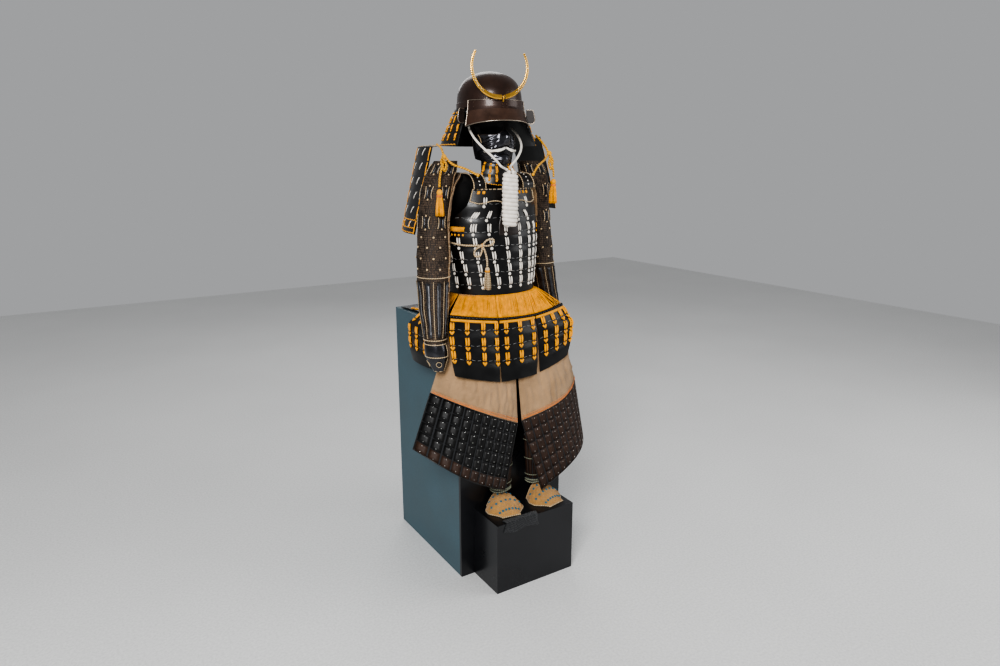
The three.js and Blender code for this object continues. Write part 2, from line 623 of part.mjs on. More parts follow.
// The gusset is soft cloth in folds between the shoulder strap and the inside of the sleeve.
function gusset(side, name) {
  const rows = SLEEVE_ROWS[name];
  const [top, low] = [1452, 1296];
  const surface = (u, v) => {
    const z = mix(top, low, v);
    const [, x, y, halfWidth, halfDepth] = interpolate(rows, z);
    const facing = side < 0 ? 0 : Math.PI;
    const turn = facing + mix(-1, 1, u) * (0.55 + 0.5 * smooth(Math.min(v * 2, 1)));
    const toStrap = (x - halfWidth - STRAP.x - STRAP.half - 0.6) * Math.max(Math.cos(turn - facing), 0);
    const reach = mix(toStrap, 4, smooth(Math.min(v * 4, 1)));
    const folds = 2.6 * Math.max(Math.sin(v * 4), 0) * (1 + Math.sin(9 * u + 4 * v));
    const out = reach + folds * Math.min(v * 5, 1);
    return { point: vec(side * x + (halfWidth + out) * Math.cos(turn), y + (halfDepth + out) * Math.sin(turn), z),
      normal: vec(Math.cos(turn), Math.sin(turn), 0) };
  };
  add(`gusset_${name}`, wallOn(surface, { us: steps(9), vs: steps(9), wall: 1.8 }), TAN);
}

// Shoulder guards
// Each row: height, then x and y of the front edge, then x and y of the back edge
const GUARD_ROWS = {
  right: [
    [1546, 170, -47, 148, 112], [1542, 198, -50, 170, 116], [1440, 226, -52, 195, 118], [1246, 275, -52, 242, 120],
  ],
  left: [
    [1566, 170, -92, 166, 72], [1580, 221, -95, 211, 76], [1450, 262, -96, 250, 78], [1318, 297, -97, 285, 80],
  ],
};

// The top plate bends in over the shoulder, and the laced lames hang from its outer edge.
function shoulderGuard(side, name) {
  const rows = GUARD_ROWS[name];
  const [, first, , last] = rows;
  const plateShare = 0.14;
  const pointAt = (u, v) => {
    const z = mix(first[0], last[0], (v - plateShare) / (1 - plateShare));
    const row = v < plateShare ? interpolate([[0, ...rows[0]], [plateShare, ...first]], v).slice(1)
      : interpolate(rows.slice(1), z);
    const [height, frontX, frontY, backX, backY] = row;
    return vec(side * (mix(frontX, backX, u) + 12 * Math.sin(Math.PI * u)), mix(frontY, backY, u), height);
  };
  const surface = surfaceOf(pointAt, vec(0, 20, 1380));
  const { lames: count, step, wall } = SHOULDER_GUARD;
  const vs = [0, plateShare * 0.96, ...lameRows(count).map((v) => mix(plateShare, 1, v))];
  const relief = (u, v) => (v < plateShare ? 0 : lameRelief(count, step)(u, (v - plateShare) / (1 - plateShare)));
  add(`shoulder_guard_${name}`, wallOn(surface, { us: steps(6), vs, wall, relief }), LACQUER);
}

// The yellow cord that ties each shoulder guard to its strap: a run, a knot with two loops, a tassel
const GUARD_CORDS = {
  right: {
    run: [
      [-190, -70, 1549], [-196, -112, 1536], [-205, -150, 1512], [-188, -176, 1484], [-150, -198, 1468],
      [-112, -211, 1448],
    ],
    knot: [[-209, -155, 1508], [-222, -164, 1490], [-214, -168, 1462], [-205, -166, 1480], [-216, -168, 1500]],
    drop: [[-207, -158, 1500], [-226, -169, 1470], [-235, -173, 1440], [-238, -174, 1410]],
    tassel: [-238, -175, 1405],
  },
  left: {
    run: [
      [198, -102, 1584], [212, -128, 1556], [222, -146, 1524], [196, -166, 1500], [150, -190, 1478],
      [112, -211, 1448],
    ],
    knot: [[226, -150, 1520], [240, -152, 1494], [232, -154, 1464], [222, -154, 1484], [230, -154, 1508]],
    drop: [[224, -152, 1510], [236, -158, 1470], [240, -158, 1446], [240, -158, 1436]],
    tassel: [240, -158, 1431],
  },
};

function guardCords(name) {
  const { run, knot, drop, tassel: end } = GUARD_CORDS[name];
  const bars = [[run, 9], [knot, 8], [drop, 4]]
    .map(([points, segments]) => bar(points, 3.2, { sides: 5, segments }));
  add(`guard_cord_${name}`, joined([knotAt(knot[0], 8), ...bars]), YELLOW);
  tassel(`guard_tassel_${name}`, end,
    { headRadius: 9, headLength: 26, strand: 66, rings: [[7, 11], [3, 5]] }, YELLOW);
}

// Thigh guards
// Corners of the field of small plates: top inner, top outer, lower inner, lower outer
const THIGH = {
  right: [[-18, -318, 584], [-303, -200, 717], [-92, -350, 359], [-385, -222, 535]],
  left: [[-1, -318, 590], [318, -212, 668], [69, -350, 316], [348, -238, 436]],
};

// A point a given share of the way from the middle round the seat box's front corner, just clear of it.
// The corner falls on one of the cloth's columns, at eight tenths of the way.
function roundSeat(side, share, z) {
  const clear = 7;
  const [edge, front] = [SEAT.width / 2 + clear, SEAT.depth / 2 + clear];
  const run = (share * edge) / 0.8;
  return vec(side * Math.max(Math.min(run, edge), 0.8), Math.max(run - edge, 0) - front, z);
}

// The field drapes over the thighs and the seat box's corner, so it turns back only near its outer edge.
function thighPoint(corners, u, v) {
  const [a, b, c, d] = corners;
  const turned = Math.max(u, 0) ** 3.2;
  const along = (i) => mix(mix(a[i], b[i], i === 1 ? turned : u), mix(c[i], d[i], i === 1 ? turned : u), v);
  const sag = (c[0] < 0 ? 14 : -22) * Math.sin(Math.PI * u) * v;
  return vec(along(0), along(1) - 16 * Math.sin(Math.PI * u), along(2) - sag);
}

function thighGuard(side, name) {
  const corners = THIGH[name];
  const core = vec(side * 120, 200, 600);
  const field = surfaceOf((u, v) => thighPoint(corners, u, v), core);
  const us = steps(8);
  add(`thigh_plates_${name}`, lames(field, 6, 2, 2.2, us), side < 0 ? LACQUER : BROWN);
  const ring = (u, out, z, turnFrom, turnTo) => {
    const { point, normal } = ellipse(BODY.y, 163, 128, side * mix(turnFrom, turnTo, u) * DEG, z);
    return point.addScaledVector(normal, out);
  };
  const apronAt = (u, z) => {
    const bent = roundSeat(side, u, z);
    return z > SEAT.height + 10 ? ring(u, 6, z, 0.3, 74).lerp(bent, 0.4) : bent;
  };
  const apron = surfaceOf((u, v) => {
    const key = v * 4;
    const curves = [
      ring(u, -4.8, 1048, 0.3, 75), ring(u, -3, 1018, 0.3, 75), apronAt(u, 962), apronAt(u, 936),
      thighPoint(corners, u, 0).add(vec(0, 0, 0.8)),
    ];
    const k = Math.min(Math.floor(key), 3);
    const folds = 4 * Math.sin(Math.PI * Math.max(v - 0.8, 0) * 5) * Math.sin(u * 23 + 3 * v);
    return curves[k].lerp(curves[k + 1], k === 3 ? (key - k) ** 1.5 : key - k).add(vec(0, -Math.abs(folds), 0));
  }, core);
  add(`thigh_cloth_${name}`, wallOn(apron, { us: steps(10), vs: steps(12), wall: CLOTH }), TAN);
}

// Shins and feet
const FEET = {
  right: { turn: -8, x: -70, y: -318 },
  left: { turn: 12, x: 84, y: -330 },
};
const SHIN = { low: 327, top: 520, half: 44, depth: 34, y: -284 };

function shinGuard(name) {
  const { x } = FEET[name];
  const surface = (u, v) => {
    const turn = mix(-100, 100, u) * DEG;
    const z = mix(SHIN.top, SHIN.low, v);
    const wide = mix(SHIN.half, SHIN.half - 9, v);
    const deep = mix(SHIN.depth, SHIN.depth - 5, v);
    const { point, normal } = ellipse(SHIN.y, wide, deep, turn, z);
    point.x += x * mix(0.95, 1, v);
    return { point, normal };
  };
  const ribs = 10;
  const relief = (u) => (Math.round(u * ribs) % 2 ? 1.6 : 0);
  add(`shin_guard_${name}`, wallOn(surface, { us: steps(ribs), vs: steps(3), wall: 2, relief }), BROWN);
}

// A foot guard is a quilted hexagon bent over the instep, resting on the foot box.
function footGuard(name) {
  const { x, y, turn } = FEET[name];
  const [half, length, instep] = [70, 106, 52];
  const pointAt = (u, v) => {
    const across = 2 * u - 1;
    const heelWide = mix(0.74, 1, smooth(Math.min(v / 0.35, 1)));
    const toeWide = mix(1, 0.5, smooth(Math.max((v - 0.5) / 0.5, 0)));
    const arch = (1 - Math.abs(across) ** 2.2) * instep * Math.max(1 - v ** 1.6, 0);
    return vec(across * half * heelWide * toeWide, -v * length, arch);
  };
  const surface = surfaceOf((u, v) => {
    const point = pointAt(u, v).applyAxisAngle(UP, turn * DEG);
    return point.add(vec(x, y + 40, FOOT_BOX.height + GAP + 3.6));
  }, vec(x, y, FOOT_BOX.height - 60));
  add(`foot_guard_${name}`, wallOn(surface, { us: steps(10), vs: steps(8), wall: 3.4 }), QUILT);
}

// A crumpled tie cloth lies over the front edge of the foot box.
const TIE_CLOTH = { right: -132, left: 12, top: 22, drop: 42, clear: 0.4, wall: 2, fold: 2.6 };

function tieCloth() {
  const edge = -(SEAT.depth / 2 + GAP + FOOT_BOX.depth);
  const { top, drop } = TIE_CLOTH;
  const lift = TIE_CLOTH.clear + TIE_CLOTH.wall;
  const surface = (u, v) => {
    const run = v * (top + drop) - top;
    const across = mix(TIE_CLOTH.right + 6 * Math.sin(5 * v), TIE_CLOTH.left - 9 * Math.sin(3 * v), u);
    const y = Math.max(edge - lift, edge - lift - run);
    const z = FOOT_BOX.height + lift - Math.max(run, 0) * mix(0.8, 1, Math.sin(5 * u) ** 2);
    const normal = Math.abs(run) < 1e-6 ? vec(0, -1, 1).normalize() : vec(0, run > 0 ? -1 : 0, run > 0 ? 0 : 1);
    return { point: vec(across, y, z), normal };
  };
  const relief = (u, v) => TIE_CLOTH.fold * (Math.sin(14 * u + 5 * v) ** 2 + 0.4 * Math.sin(31 * u) ** 2);
  const vs = [0, 0.5, 1].map((t) => (t * top) / (top + drop))
    .concat([0.1, 0.4, 0.7, 1].map((t) => (top + t * drop) / (top + drop)));
  add('tie_cloth', wallOn(surface, { us: steps(16), vs, wall: TIE_CLOTH.wall, relief }), DYED_CLOTH);
}

plinth();
stand();
bowl();
browPlate();
crest();
neckGuard();
turnBacks();
mask();
throatGuard();
chinCord();
cuirass();
shoulderStraps();
waistCord();
skirt();
tieCloth();
for (const [side, name] of [[-1, 'right'], [1, 'left']]) {
  sleeve(side, name);
  gusset(side, name);
  shoulderGuard(side, name);
  guardCords(name);
  thighGuard(side, name);
  shinGuard(name);
  footGuard(name);
}

export default group;
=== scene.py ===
"""A laced armour with its helmet, mask, sleeves and thigh guards, on a two-step box plinth.

Sizes are in millimetres in the helpers and become metres in the meshes. +Z is up and -Y is the front.
Right and left are the wearer's: the wearer's right is at -X.
"""
import math
import random

import bpy
import numpy as np
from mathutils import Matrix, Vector


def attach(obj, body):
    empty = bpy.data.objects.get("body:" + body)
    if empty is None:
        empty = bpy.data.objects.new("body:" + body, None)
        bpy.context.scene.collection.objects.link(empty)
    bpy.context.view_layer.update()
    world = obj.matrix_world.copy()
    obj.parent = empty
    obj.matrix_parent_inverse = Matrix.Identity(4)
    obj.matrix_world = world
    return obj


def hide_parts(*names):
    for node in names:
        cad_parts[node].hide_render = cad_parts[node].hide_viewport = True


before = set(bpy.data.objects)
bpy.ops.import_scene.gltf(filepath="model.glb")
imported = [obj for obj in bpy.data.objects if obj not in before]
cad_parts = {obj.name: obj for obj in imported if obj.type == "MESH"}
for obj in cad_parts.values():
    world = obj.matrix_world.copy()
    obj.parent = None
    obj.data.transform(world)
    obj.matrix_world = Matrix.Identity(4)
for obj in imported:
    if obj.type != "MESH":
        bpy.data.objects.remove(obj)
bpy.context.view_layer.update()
DEG = math.pi / 180

# The photograph's camera
CAMERA = {"at": (-1.3276, -2.2686, 1.5042), "yaw": 32.338, "pitch": 14.046, "lens": 25.2}


def make_camera():
    data = bpy.data.cameras.new("camera")
    data.lens = CAMERA["lens"]
    data.sensor_width = 36
    data.clip_end = 50
    obj = bpy.data.objects.new("camera", data)
    bpy.context.collection.objects.link(obj)
    obj.location = CAMERA["at"]
    obj.rotation_euler = ((90 - CAMERA["pitch"]) * DEG, 0, -CAMERA["yaw"] * DEG)
    bpy.context.scene.camera = obj


make_camera()


# Meshes
def declare(obj, slot, *nodes):
    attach(obj, "root")
    if nodes:
        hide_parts(*nodes)
    return obj


def mesh_object(name, points, faces, material, smooth=True, sharp=None, along=None):
    mesh = bpy.data.meshes.new(name)
    points = np.asarray(points, float) / 1000
    mesh.from_pydata(points.tolist(), [], [tuple(int(i) for i in f) for f in faces])
    if along is not None:
        for k, key in enumerate(("along", "around")):
            layer = mesh.attributes.new(key, "FLOAT", "POINT")
            layer.data.foreach_set("value", np.ascontiguousarray(along[:, k], dtype=np.float32))
    mesh.validate()
    if smooth:
        mesh.polygons.foreach_set("use_smooth", [True] * len(mesh.polygons))
    if sharp is not None:
        mesh.set_sharp_from_angle(angle=sharp * DEG)
    mesh.materials.append(material)
    mesh.update()
    obj = bpy.data.objects.new(name, mesh)
    bpy.context.collection.objects.link(obj)
    return obj


class Parts:
    """Collects many small meshes to make one object of them."""

    def __init__(self):
        self.points = []
        self.faces = []
        self.along = []
        self.count = 0

    def add(self, points, faces, along=None):
        points = np.asarray(points, float)
        self.points.append(points)
        self.faces.append([[q + self.count for q in f] for f in faces])
        self.along.append(np.zeros((len(points), 2)) if along is None else along)
        self.count += len(points)

    def build(self, name, material, smooth=True, sharp=None):
        faces = [f for block in self.faces for f in block]
        return mesh_object(name, np.concatenate(self.points), faces, material, smooth, sharp,
                           np.concatenate(self.along))


def unit(v):
    return v / np.maximum(np.linalg.norm(v, axis=-1, keepdims=True), 1e-9)


def smooth_step(t):
    t = np.clip(t, 0, 1)
    return t * t * (3 - 2 * t)


def mix(a, b, t):
    return a + (b - a) * t


def columns(table, key):
    """Each further column of a table read at key, the table's first column."""
    rows = np.array(sorted(table, key=lambda r: r[0]), float)
    return [np.interp(key, rows[:, 0], rows[:, i]) for i in range(1, rows.shape[1])]


def spline(points, count):
    """A smooth line of count points through the given ones."""
    p = np.asarray(points, float)
    p = np.vstack([2 * p[0] - p[1], p, 2 * p[-1] - p[-2]])
    out = []
    for t in np.linspace(0, len(p) - 3, count):
        k = min(int(t), len(p) - 4)
        f = t - k
        a, b, c, d = p[k:k + 4]
        out.append(0.5 * ((2 * b) + (c - a) * f + (2 * a - 5 * b + 4 * c - d) * f ** 2
                          + (3 * b - a - 3 * c + d) * f ** 3))
    return np.array(out)


def frames_along(path):
    """Two directions across a path at each of its points."""
    tangent = unit(np.gradient(path, axis=0))
    side = np.zeros_like(path)
    start = np.array([0, 0, 1.0]) if abs(tangent[0][2]) < 0.9 else np.array([1.0, 0, 0])
    last = start
    for i, t in enumerate(tangent):
        last = unit(last - t * np.dot(last, t))
        side[i] = last
    return side, np.cross(tangent, side)


def tube(parts, path, radius, sides=6, flat=1.0, across=None):
    """A closed tube along a path. flat shrinks it along the direction across."""
    path = np.asarray(path, float)
    n = len(path)
    a, b = frames_along(path)
    if across is not None:
        tangent = unit(np.gradient(path, axis=0))
        b = unit(across - tangent * np.sum(across * tangent, axis=1, keepdims=True))
        a = np.cross(b, tangent)
    radius = np.broadcast_to(np.asarray(radius, float), (n,))
    turn = np.arange(sides) * 2 * np.pi / sides
    rings = (path[:, None] + radius[:, None, None]
             * (np.cos(turn)[None, :, None] * a[:, None] + flat * np.sin(turn)[None, :, None] * b[:, None]))
    i, k = np.meshgrid(np.arange(n - 1), np.arange(sides), indexing="ij")
    k2 = (k + 1) % sides
    faces = np.stack([i * sides + k, i * sides + k2, (i + 1) * sides + k2, (i + 1) * sides + k],
                     -1).reshape(-1, 4)
    points = np.vstack([rings.reshape(-1, 3), path[0], path[-1]])
    run = np.concatenate([[0], np.cumsum(np.linalg.norm(np.diff(path, axis=0), axis=1))])
    along = np.stack(np.meshgrid(run, turn, indexing="ij"), -1).reshape(-1, 2)
    along = np.vstack([along, [run[0], 0], [run[-1], 0]])
    first, last = n * sides, n * sides + 1
    caps = [[first, (j + 1) % sides, j] for j in range(sides)]
    caps += [[last, (n - 1) * sides + j, (n - 1) * sides + (j + 1) % sides] for j in range(sides)]
    parts.add(points, faces.tolist() + caps, along)


BALL_RINGS = [(-1.0, 0.0), (-0.55, 0.83), (0.1, 1.0), (0.72, 0.7), (1.0, 0.0)]


def balls(parts, centres, radius, normals=None, flat=1.0, sides=7):
    """Small rounded knots, flattened along their normals."""
    centres = np.atleast_2d(np.asarray(centres, float))
    normals = np.array([[0, 0, 1.0]]) if normals is None else np.atleast_2d(normals)
    normals = np.broadcast_to(unit(normals), centres.shape)
    radius = np.broadcast_to(np.asarray(radius, float), (len(centres),))
    turn = np.arange(sides) * 2 * np.pi / sides
    for c, n, r in zip(centres, normals, radius):
        a = unit(np.cross(n, [0.3, 0.2, 1.0] if abs(n[2]) < 0.9 else [1.0, 0, 0]))
        b = np.cross(n, a)
        points = [c + n * BALL_RINGS[0][0] * r * flat]
        for up, out in BALL_RINGS[1:-1]:
            points += [c + n * up * r * flat + r * out * (math.cos(t) * a + math.sin(t) * b) for t in turn]
        points.append(c + n * BALL_RINGS[-1][0] * r * flat)
        top = len(points) - 1
        faces = [[0, 1 + (j + 1) % sides, 1 + j] for j in range(sides)]
        for ring in range(len(BALL_RINGS) - 3):
            s = 1 + ring * sides
            faces += [[s + j, s + (j + 1) % sides, s + sides + (j + 1) % sides,
                       s + sides + j] for j in range(sides)]
        s = 1 + (len(BALL_RINGS) - 3) * sides
        faces += [[s + j, s + (j + 1) % sides, top] for j in range(sides)]
        parts.add(np.array(points), faces)


class Surface:
    """A surface of (u, v) with outward normals, turned away from a core point or with a fixed sign."""

    def __init__(self, point, core=None, sign=1):
        self.point = point
        self.core = core
        self.sign = sign

    def normal(self, u, v):
        e = 2e-3
        du = self.point(np.minimum(u + e, self.high(u)), v) - self.point(u - e, v)
        dv = self.point(u, np.minimum(v + e, 1)) - self.point(u, np.maximum(v - e, 0))
        n = unit(np.cross(du, dv)) * self.sign
        if self.core is not None:
            away = self.point(u, v) - np.asarray(self.core, float)
            n = n * np.where(np.sum(n * away, axis=-1, keepdims=True) < 0, -1, 1)
        return n

    def high(self, u):
        return u + 1

    def at(self, u, v, out=0.0):
        u, v = np.broadcast_arrays(np.asarray(u, float), np.asarray(v, float))
        out = np.broadcast_to(np.asarray(out, float), u.shape)
        return self.point(u, v) + self.normal(u, v) * out[..., None]


def wall(name, surface, us, vs, thick, material, relief=None, sharp=None, closed=False):
    """A thin closed wall inside a surface, with a relief outside it."""
    parts = Parts()
    wall_parts(parts, surface, us, vs, thick, relief, closed)
    return parts.build(name, material, True, sharp)


def wall_parts(parts, surface, us, vs, thick, relief=None, closed=False):
    v, u = np.meshgrid(vs, us, indexing="ij")
    point, normal = surface.point(u, v), surface.normal(u, v)
    out = np.zeros_like(u) if relief is None else relief(u, v)
    outer = point + normal * out[..., None]
    inner = point - normal * thick
    rows, cols = u.shape
    both = np.concatenate([outer.reshape(-1, 3), inner.reshape(-1, 3)])
    at = np.arange(2 * rows * cols).reshape(2, rows, cols)
    if closed:
        at = np.concatenate([at, at[:, :, :1]], axis=2)
    quads = []
    for side in (0, 1):
        g = at[side]
        q = np.stack([g[:-1, :-1], g[:-1, 1:], g[1:, 1:], g[1:, :-1]], -1).reshape(-1, 4)
        quads.append(q if side == 0 else q[:, ::-1])
    rims = [(at[0, 0], at[1, 0]), (at[1, -1], at[0, -1])]
    if not closed:
        rims += [(at[1, :, 0], at[0, :, 0]), (at[0, :, -1], at[1, :, -1])]
    for a, b in rims:
        quads.append(np.stack([a[:-1], b[:-1], b[1:], a[1:]], -1))
    faces = np.concatenate(quads)
    sample = faces[:(rows - 1) * (cols - 1 + closed)]
    a, b, c = both[sample[:, 0]], both[sample[:, 1]], both[sample[:, 2]]
    facing = np.sum(np.cross(b - a, c - a) * (outer - inner).reshape(-1, 3)[sample[:, 0]])
    if facing < 0:
        faces = faces[:, ::-1]
    parts.add(both, faces.tolist())


# Materials
class Nodes:
    """A short way to write a node tree."""

    def __init__(self, name):
        self.material = bpy.data.materials.new(name)
        self.material.use_nodes = True
        self.tree = self.material.node_tree
        self.shader = self.tree.nodes["Principled BSDF"]
        self.coordinates = self.make("ShaderNodeTexCoord").outputs["Object"]

    def make(self, kind, inputs=None, **settings):
        node = self.tree.nodes.new(kind)
        for key, value in settings.items():
            setattr(node, key, value)
        for key, value in (inputs or {}).items():
            if isinstance(value, bpy.types.NodeSocket):
                self.tree.links.new(value, node.inputs[key])
            else:
                node.inputs[key].default_value = value
        return node

    def noise(self, scale, detail=3.0, rough=0.55):
        inputs = {"Vector": self.coordinates, "Scale": scale, "Detail": detail, "Roughness": rough}
        return self.make("ShaderNodeTexNoise", inputs).outputs["Fac"]

    def math(self, operation, a, b=0.0):
        return self.make("ShaderNodeMath", {0: a, 1: b}, operation=operation).outputs[0]

    def ramp(self, value, low, high, colours):
        node = self.make("ShaderNodeValToRGB", {"Fac": value})
        for stop, at, colour in zip(node.color_ramp.elements, (low, high), colours):
            stop.position = at
            stop.color = (*colour, 1)
        return node.outputs["Color"]

    def spread(self, value, low, high, to_low, to_high):
        inputs = {"Value": value, "From Min": low, "From Max": high, "To Min": to_low, "To Max": to_high}
        return self.make("ShaderNodeMapRange", inputs).outputs["Result"]

    def attribute(self, name):
        return self.make("ShaderNodeAttribute", attribute_name=name).outputs["Fac"]

    def bump(self, height, strength, distance):
        inputs = {"Height": height, "Strength": strength, "Distance": distance}
        return self.make("ShaderNodeBump", inputs).outputs["Normal"]

    def link(self, socket, value):
        if isinstance(value, bpy.types.NodeSocket):
            self.tree.links.new(value, self.shader.inputs[socket])
        else:
            self.shader.inputs[socket].default_value = value


def toned(colour, amount):
    return tuple(min(c * amount, 1.0) for c in colour)


def material(name, colour, rough, metal=0.0, vary=0.25, patch=14.0, grain=900.0, relief=0.15, coat=0.0,
             sheen=0.0, pattern=None, pattern_size=0.0, pattern_depth=0.0006):
    """A base colour in soft patches with a fine grain and, where asked for, a pattern."""
    n = Nodes(name)
    patches = n.noise(patch, 4.0)
    tone = n.ramp(patches, 0.3, 0.72, (toned(colour, 1 - vary), toned(colour, 1 + vary)))
    fine = n.noise(grain, 2.0)
    height = fine
    if pattern == "twist":
        along = n.math("MULTIPLY", n.attribute("along"), 2 * math.pi / pattern_size)
        height = n.math("SINE", n.math("ADD", along, n.attribute("around")))
        # The twist darkens the colour in its grooves: painted shade.
        dark = n.spread(height, -1.0, 0.2, 0.45, 1.0)
    elif pattern == "weave":
        split = n.make("ShaderNodeSeparateXYZ", {0: n.coordinates})
        k = 2 * math.pi / pattern_size
        level = n.math("SINE", n.math("MULTIPLY", n.math("ADD", split.outputs[0], split.outputs[1]), k))
        upright = n.math("SINE", n.math("MULTIPLY", split.outputs[2], k))
        height = n.math("ADD", n.math("MULTIPLY", level, upright), fine)
        # Painted shade in the weave's low points, with a slight painted highlight on its raised threads.
        dark = n.spread(height, -0.6, 0.9, 0.8, 1.06)
    elif pattern == "rings":
        cells = n.make("ShaderNodeTexVoronoi", {"Vector": n.coordinates, "Scale": 1 / pattern_size,
                                                "Randomness": 0.28}, feature="F1").outputs["Distance"]
        ring = n.math("ABSOLUTE", n.math("SUBTRACT", cells, 0.34))
        height = n.spread(ring, 0.0, 0.2, 1.0, 0.0)
        dark = n.spread(height, 0.0, 1.0, 0.34, 1.5)
    elif pattern == "hair":
        along = n.make("ShaderNodeTexNoise", {"Vector": n.make("ShaderNodeMapping", {
            "Vector": n.coordinates, "Scale": (900.0, 900.0, 60.0)}).outputs[0], "Scale": 1.0}).outputs["Fac"]
        height = along
        dark = n.spread(height, 0.3, 0.7, 0.72, 1.1)
    else:
        dark = n.spread(fine, 0.3, 0.7, 0.92, 1.08)
    scale = n.make("ShaderNodeCombineXYZ", {0: dark, 1: dark, 2: dark}).outputs[0]
    shade = n.make("ShaderNodeVectorMath", {0: tone, 1: scale}, operation="MULTIPLY").outputs[0]
    n.link("Base Color", shade)
    n.link("Roughness", n.spread(patches, 0.3, 0.7, max(rough - 0.07, 0.03), min(rough + 0.09, 1.0)))
    n.link("Metallic", metal)
    depth = pattern_depth if pattern else 0.0003
    n.link("Normal", n.bump(height, 0.9 if pattern else relief, depth))
    if coat:
        n.link("Coat Weight", coat)
        n.link("Coat Roughness", 0.16)
    if sheen:
        n.link("Sheen Weight", sheen)
    return n.material


LACQUER = material("black_lacquer", (0.004, 0.0038, 0.004), 0.36, 0.0, 0.3, 20, 700, 0.2, coat=0.2)
DARK_LEATHER = material("dark_leather", (0.009, 0.0075, 0.007), 0.36, 0.0, 0.3, 30, 420, 0.3, coat=0.25)
STRIP_LACQUER = material("brown_black_lacquer", (0.022, 0.014, 0.011), 0.4, 0.0, 0.25, 30, 700, 0.2,
                         coat=0.15)
RUSSET = material("russet_iron", (0.045, 0.022, 0.015), 0.36, 0.25, 0.3, 16, 520, 0.35, coat=0.25)
# A lighter russet, used for the visor and the brow rivets.
RUSSET_LIGHTER = material("lighter_russet_iron", (0.075, 0.04, 0.027), 0.4, 0.3, 0.3, 26, 520, 0.3)
BRIGHT_RIM = material("bright_rim", (0.42, 0.36, 0.3), 0.3, 0.9, 0.2, 40, 700, 0.2)
IRON = material("dark_iron", (0.07, 0.07, 0.078), 0.2, 0.85, 0.3, 30, 380, 0.4, coat=0.3)
SPLINT = material("splint_iron", (0.07, 0.07, 0.075), 0.34, 0.6, 0.35, 60, 500, 0.3)
GOLD = material("gilt", (0.86, 0.5, 0.12), 0.22, 1.0, 0.18, 30, 600, 0.15)
SILVER = material("silver_studs", (0.62, 0.62, 0.6), 0.28, 0.9, 0.15, 60, 600, 0.15)
YELLOW = material("yellow_silk", (0.86, 0.42, 0.03), 0.66, 0.0, 0.2, 60, 1500, 0.3, sheen=0.15,
                  pattern="twist", pattern_size=9.0)
YELLOW_PLAIN = material("yellow_braid", (0.84, 0.36, 0.012), 0.66, 0.0, 0.22, 60, 1500, 0.5, sheen=0.15)
# Darker yellow for the sheet behind the skirt cords: painted shade between the cords.
YELLOW_PAINTED_SHADE = material("yellow_painted_shade", (0.4, 0.15, 0.012), 0.75, 0.0, 0.2, 60, 1500, 0.4)
ORANGE = material("orange_silk", (0.78, 0.24, 0.04), 0.62, 0.0, 0.2, 60, 1500, 0.4, sheen=0.3)
WHITE_PLAIN = material("white_braid", (0.8, 0.75, 0.68), 0.62, 0.0, 0.14, 60, 1500, 0.4, sheen=0.2)
GREY_STITCH = material("grey_stitch", (0.3, 0.3, 0.3), 0.55, 0.0, 0.25, 90, 1500, 0.4)
HAIR = material("white_hair", (0.84, 0.81, 0.74), 0.55, 0.0, 0.1, 60, 1500, 0.3, sheen=0.2)
TAN_CORD = material("tan_silk", (0.6, 0.45, 0.27), 0.64, 0.0, 0.18, 60, 1500, 0.3, sheen=0.3,
                    pattern="twist", pattern_size=8.0)
TAN = material("tan_cloth", (0.42, 0.27, 0.15), 0.84, 0.0, 0.16, 18, 1400, 0.4, sheen=0.25,
               pattern="weave", pattern_size=0.0022, pattern_depth=0.0003)
MAIL = material("mail_on_cloth", (0.085, 0.058, 0.04), 0.62, 0.15, 0.3, 26, 900, 0.4,
                pattern="rings", pattern_size=0.0075, pattern_depth=0.001)
BROWN = material("brown_lacquer", (0.04, 0.019, 0.011), 0.55, 0.0, 0.35, 30, 600, 0.3)
PLATE_BLACK = material("plate_black", (0.005, 0.0045, 0.0045), 0.5, 0.0, 0.3, 30, 600, 0.3)
DYED = material("dark_dyed_cloth", (0.03, 0.031, 0.034), 0.86, 0.0, 0.3, 30, 1400, 0.4, sheen=0.2,
                pattern="weave", pattern_size=0.0024, pattern_depth=0.0003)
GREEN_CORD = material("grey_green_cord", (0.3, 0.31, 0.23), 0.7, 0.0, 0.2, 60, 1500, 0.3,
                      pattern="twist", pattern_size=8.0)
BLUE = material("blue_thread", (0.03, 0.17, 0.25), 0.65, 0.0, 0.2, 60, 1500, 0.3)
QUILT = material("quilted_cloth", (0.5, 0.27, 0.09), 0.8, 0.0, 0.16, 24, 1400, 0.4, sheen=0.3,
                 pattern="weave", pattern_size=0.003, pattern_depth=0.0005)
SLATE = material("slate_paint", (0.075, 0.125, 0.15), 0.5, 0.0, 0.14, 5, 260, 0.25)
SATIN_BLACK = material("satin_black_paint", (0.014, 0.0145, 0.017), 0.3, 0.0, 0.2, 6, 260, 0.2, coat=0.25)
STAND_BLACK = material("stand_black", (0.02, 0.019, 0.018), 0.6, 0.0, 0.25, 14, 300, 0.3)
PALE_FLOOR = material("pale_floor", (0.74, 0.74, 0.73), 0.75, 0.0, 0.02, 1.2, 120, 0.05)


# Shared forms
def knot(parts, surface, u, v, lift, size, flat):
    """A flattened knot at one place on a surface."""
    us, vs = np.array([u]), np.array([v])
    balls(parts, surface.at(us, vs, lift), size, surface.normal(us, vs), flat)


def ellipse(centre_y, half_width, half_depth, angle, z):
    angle, z, half_width, half_depth = np.broadcast_arrays(angle, z, half_width, half_depth)
    return np.stack([half_width * np.sin(angle), centre_y - half_depth * np.cos(angle), z], -1)


def lame_rows(count, samples=5):
    """Rows of v for count lames, with a step at each lame's upper edge."""
    ledge = 0.06 / count
    rows = []
    for k in range(count):
        low = k / count + (ledge if k else 0)
        high = (k + 1) / count - (ledge if k + 1 < count else 0)
        rows += list(np.linspace(low, high, samples))
    return rows


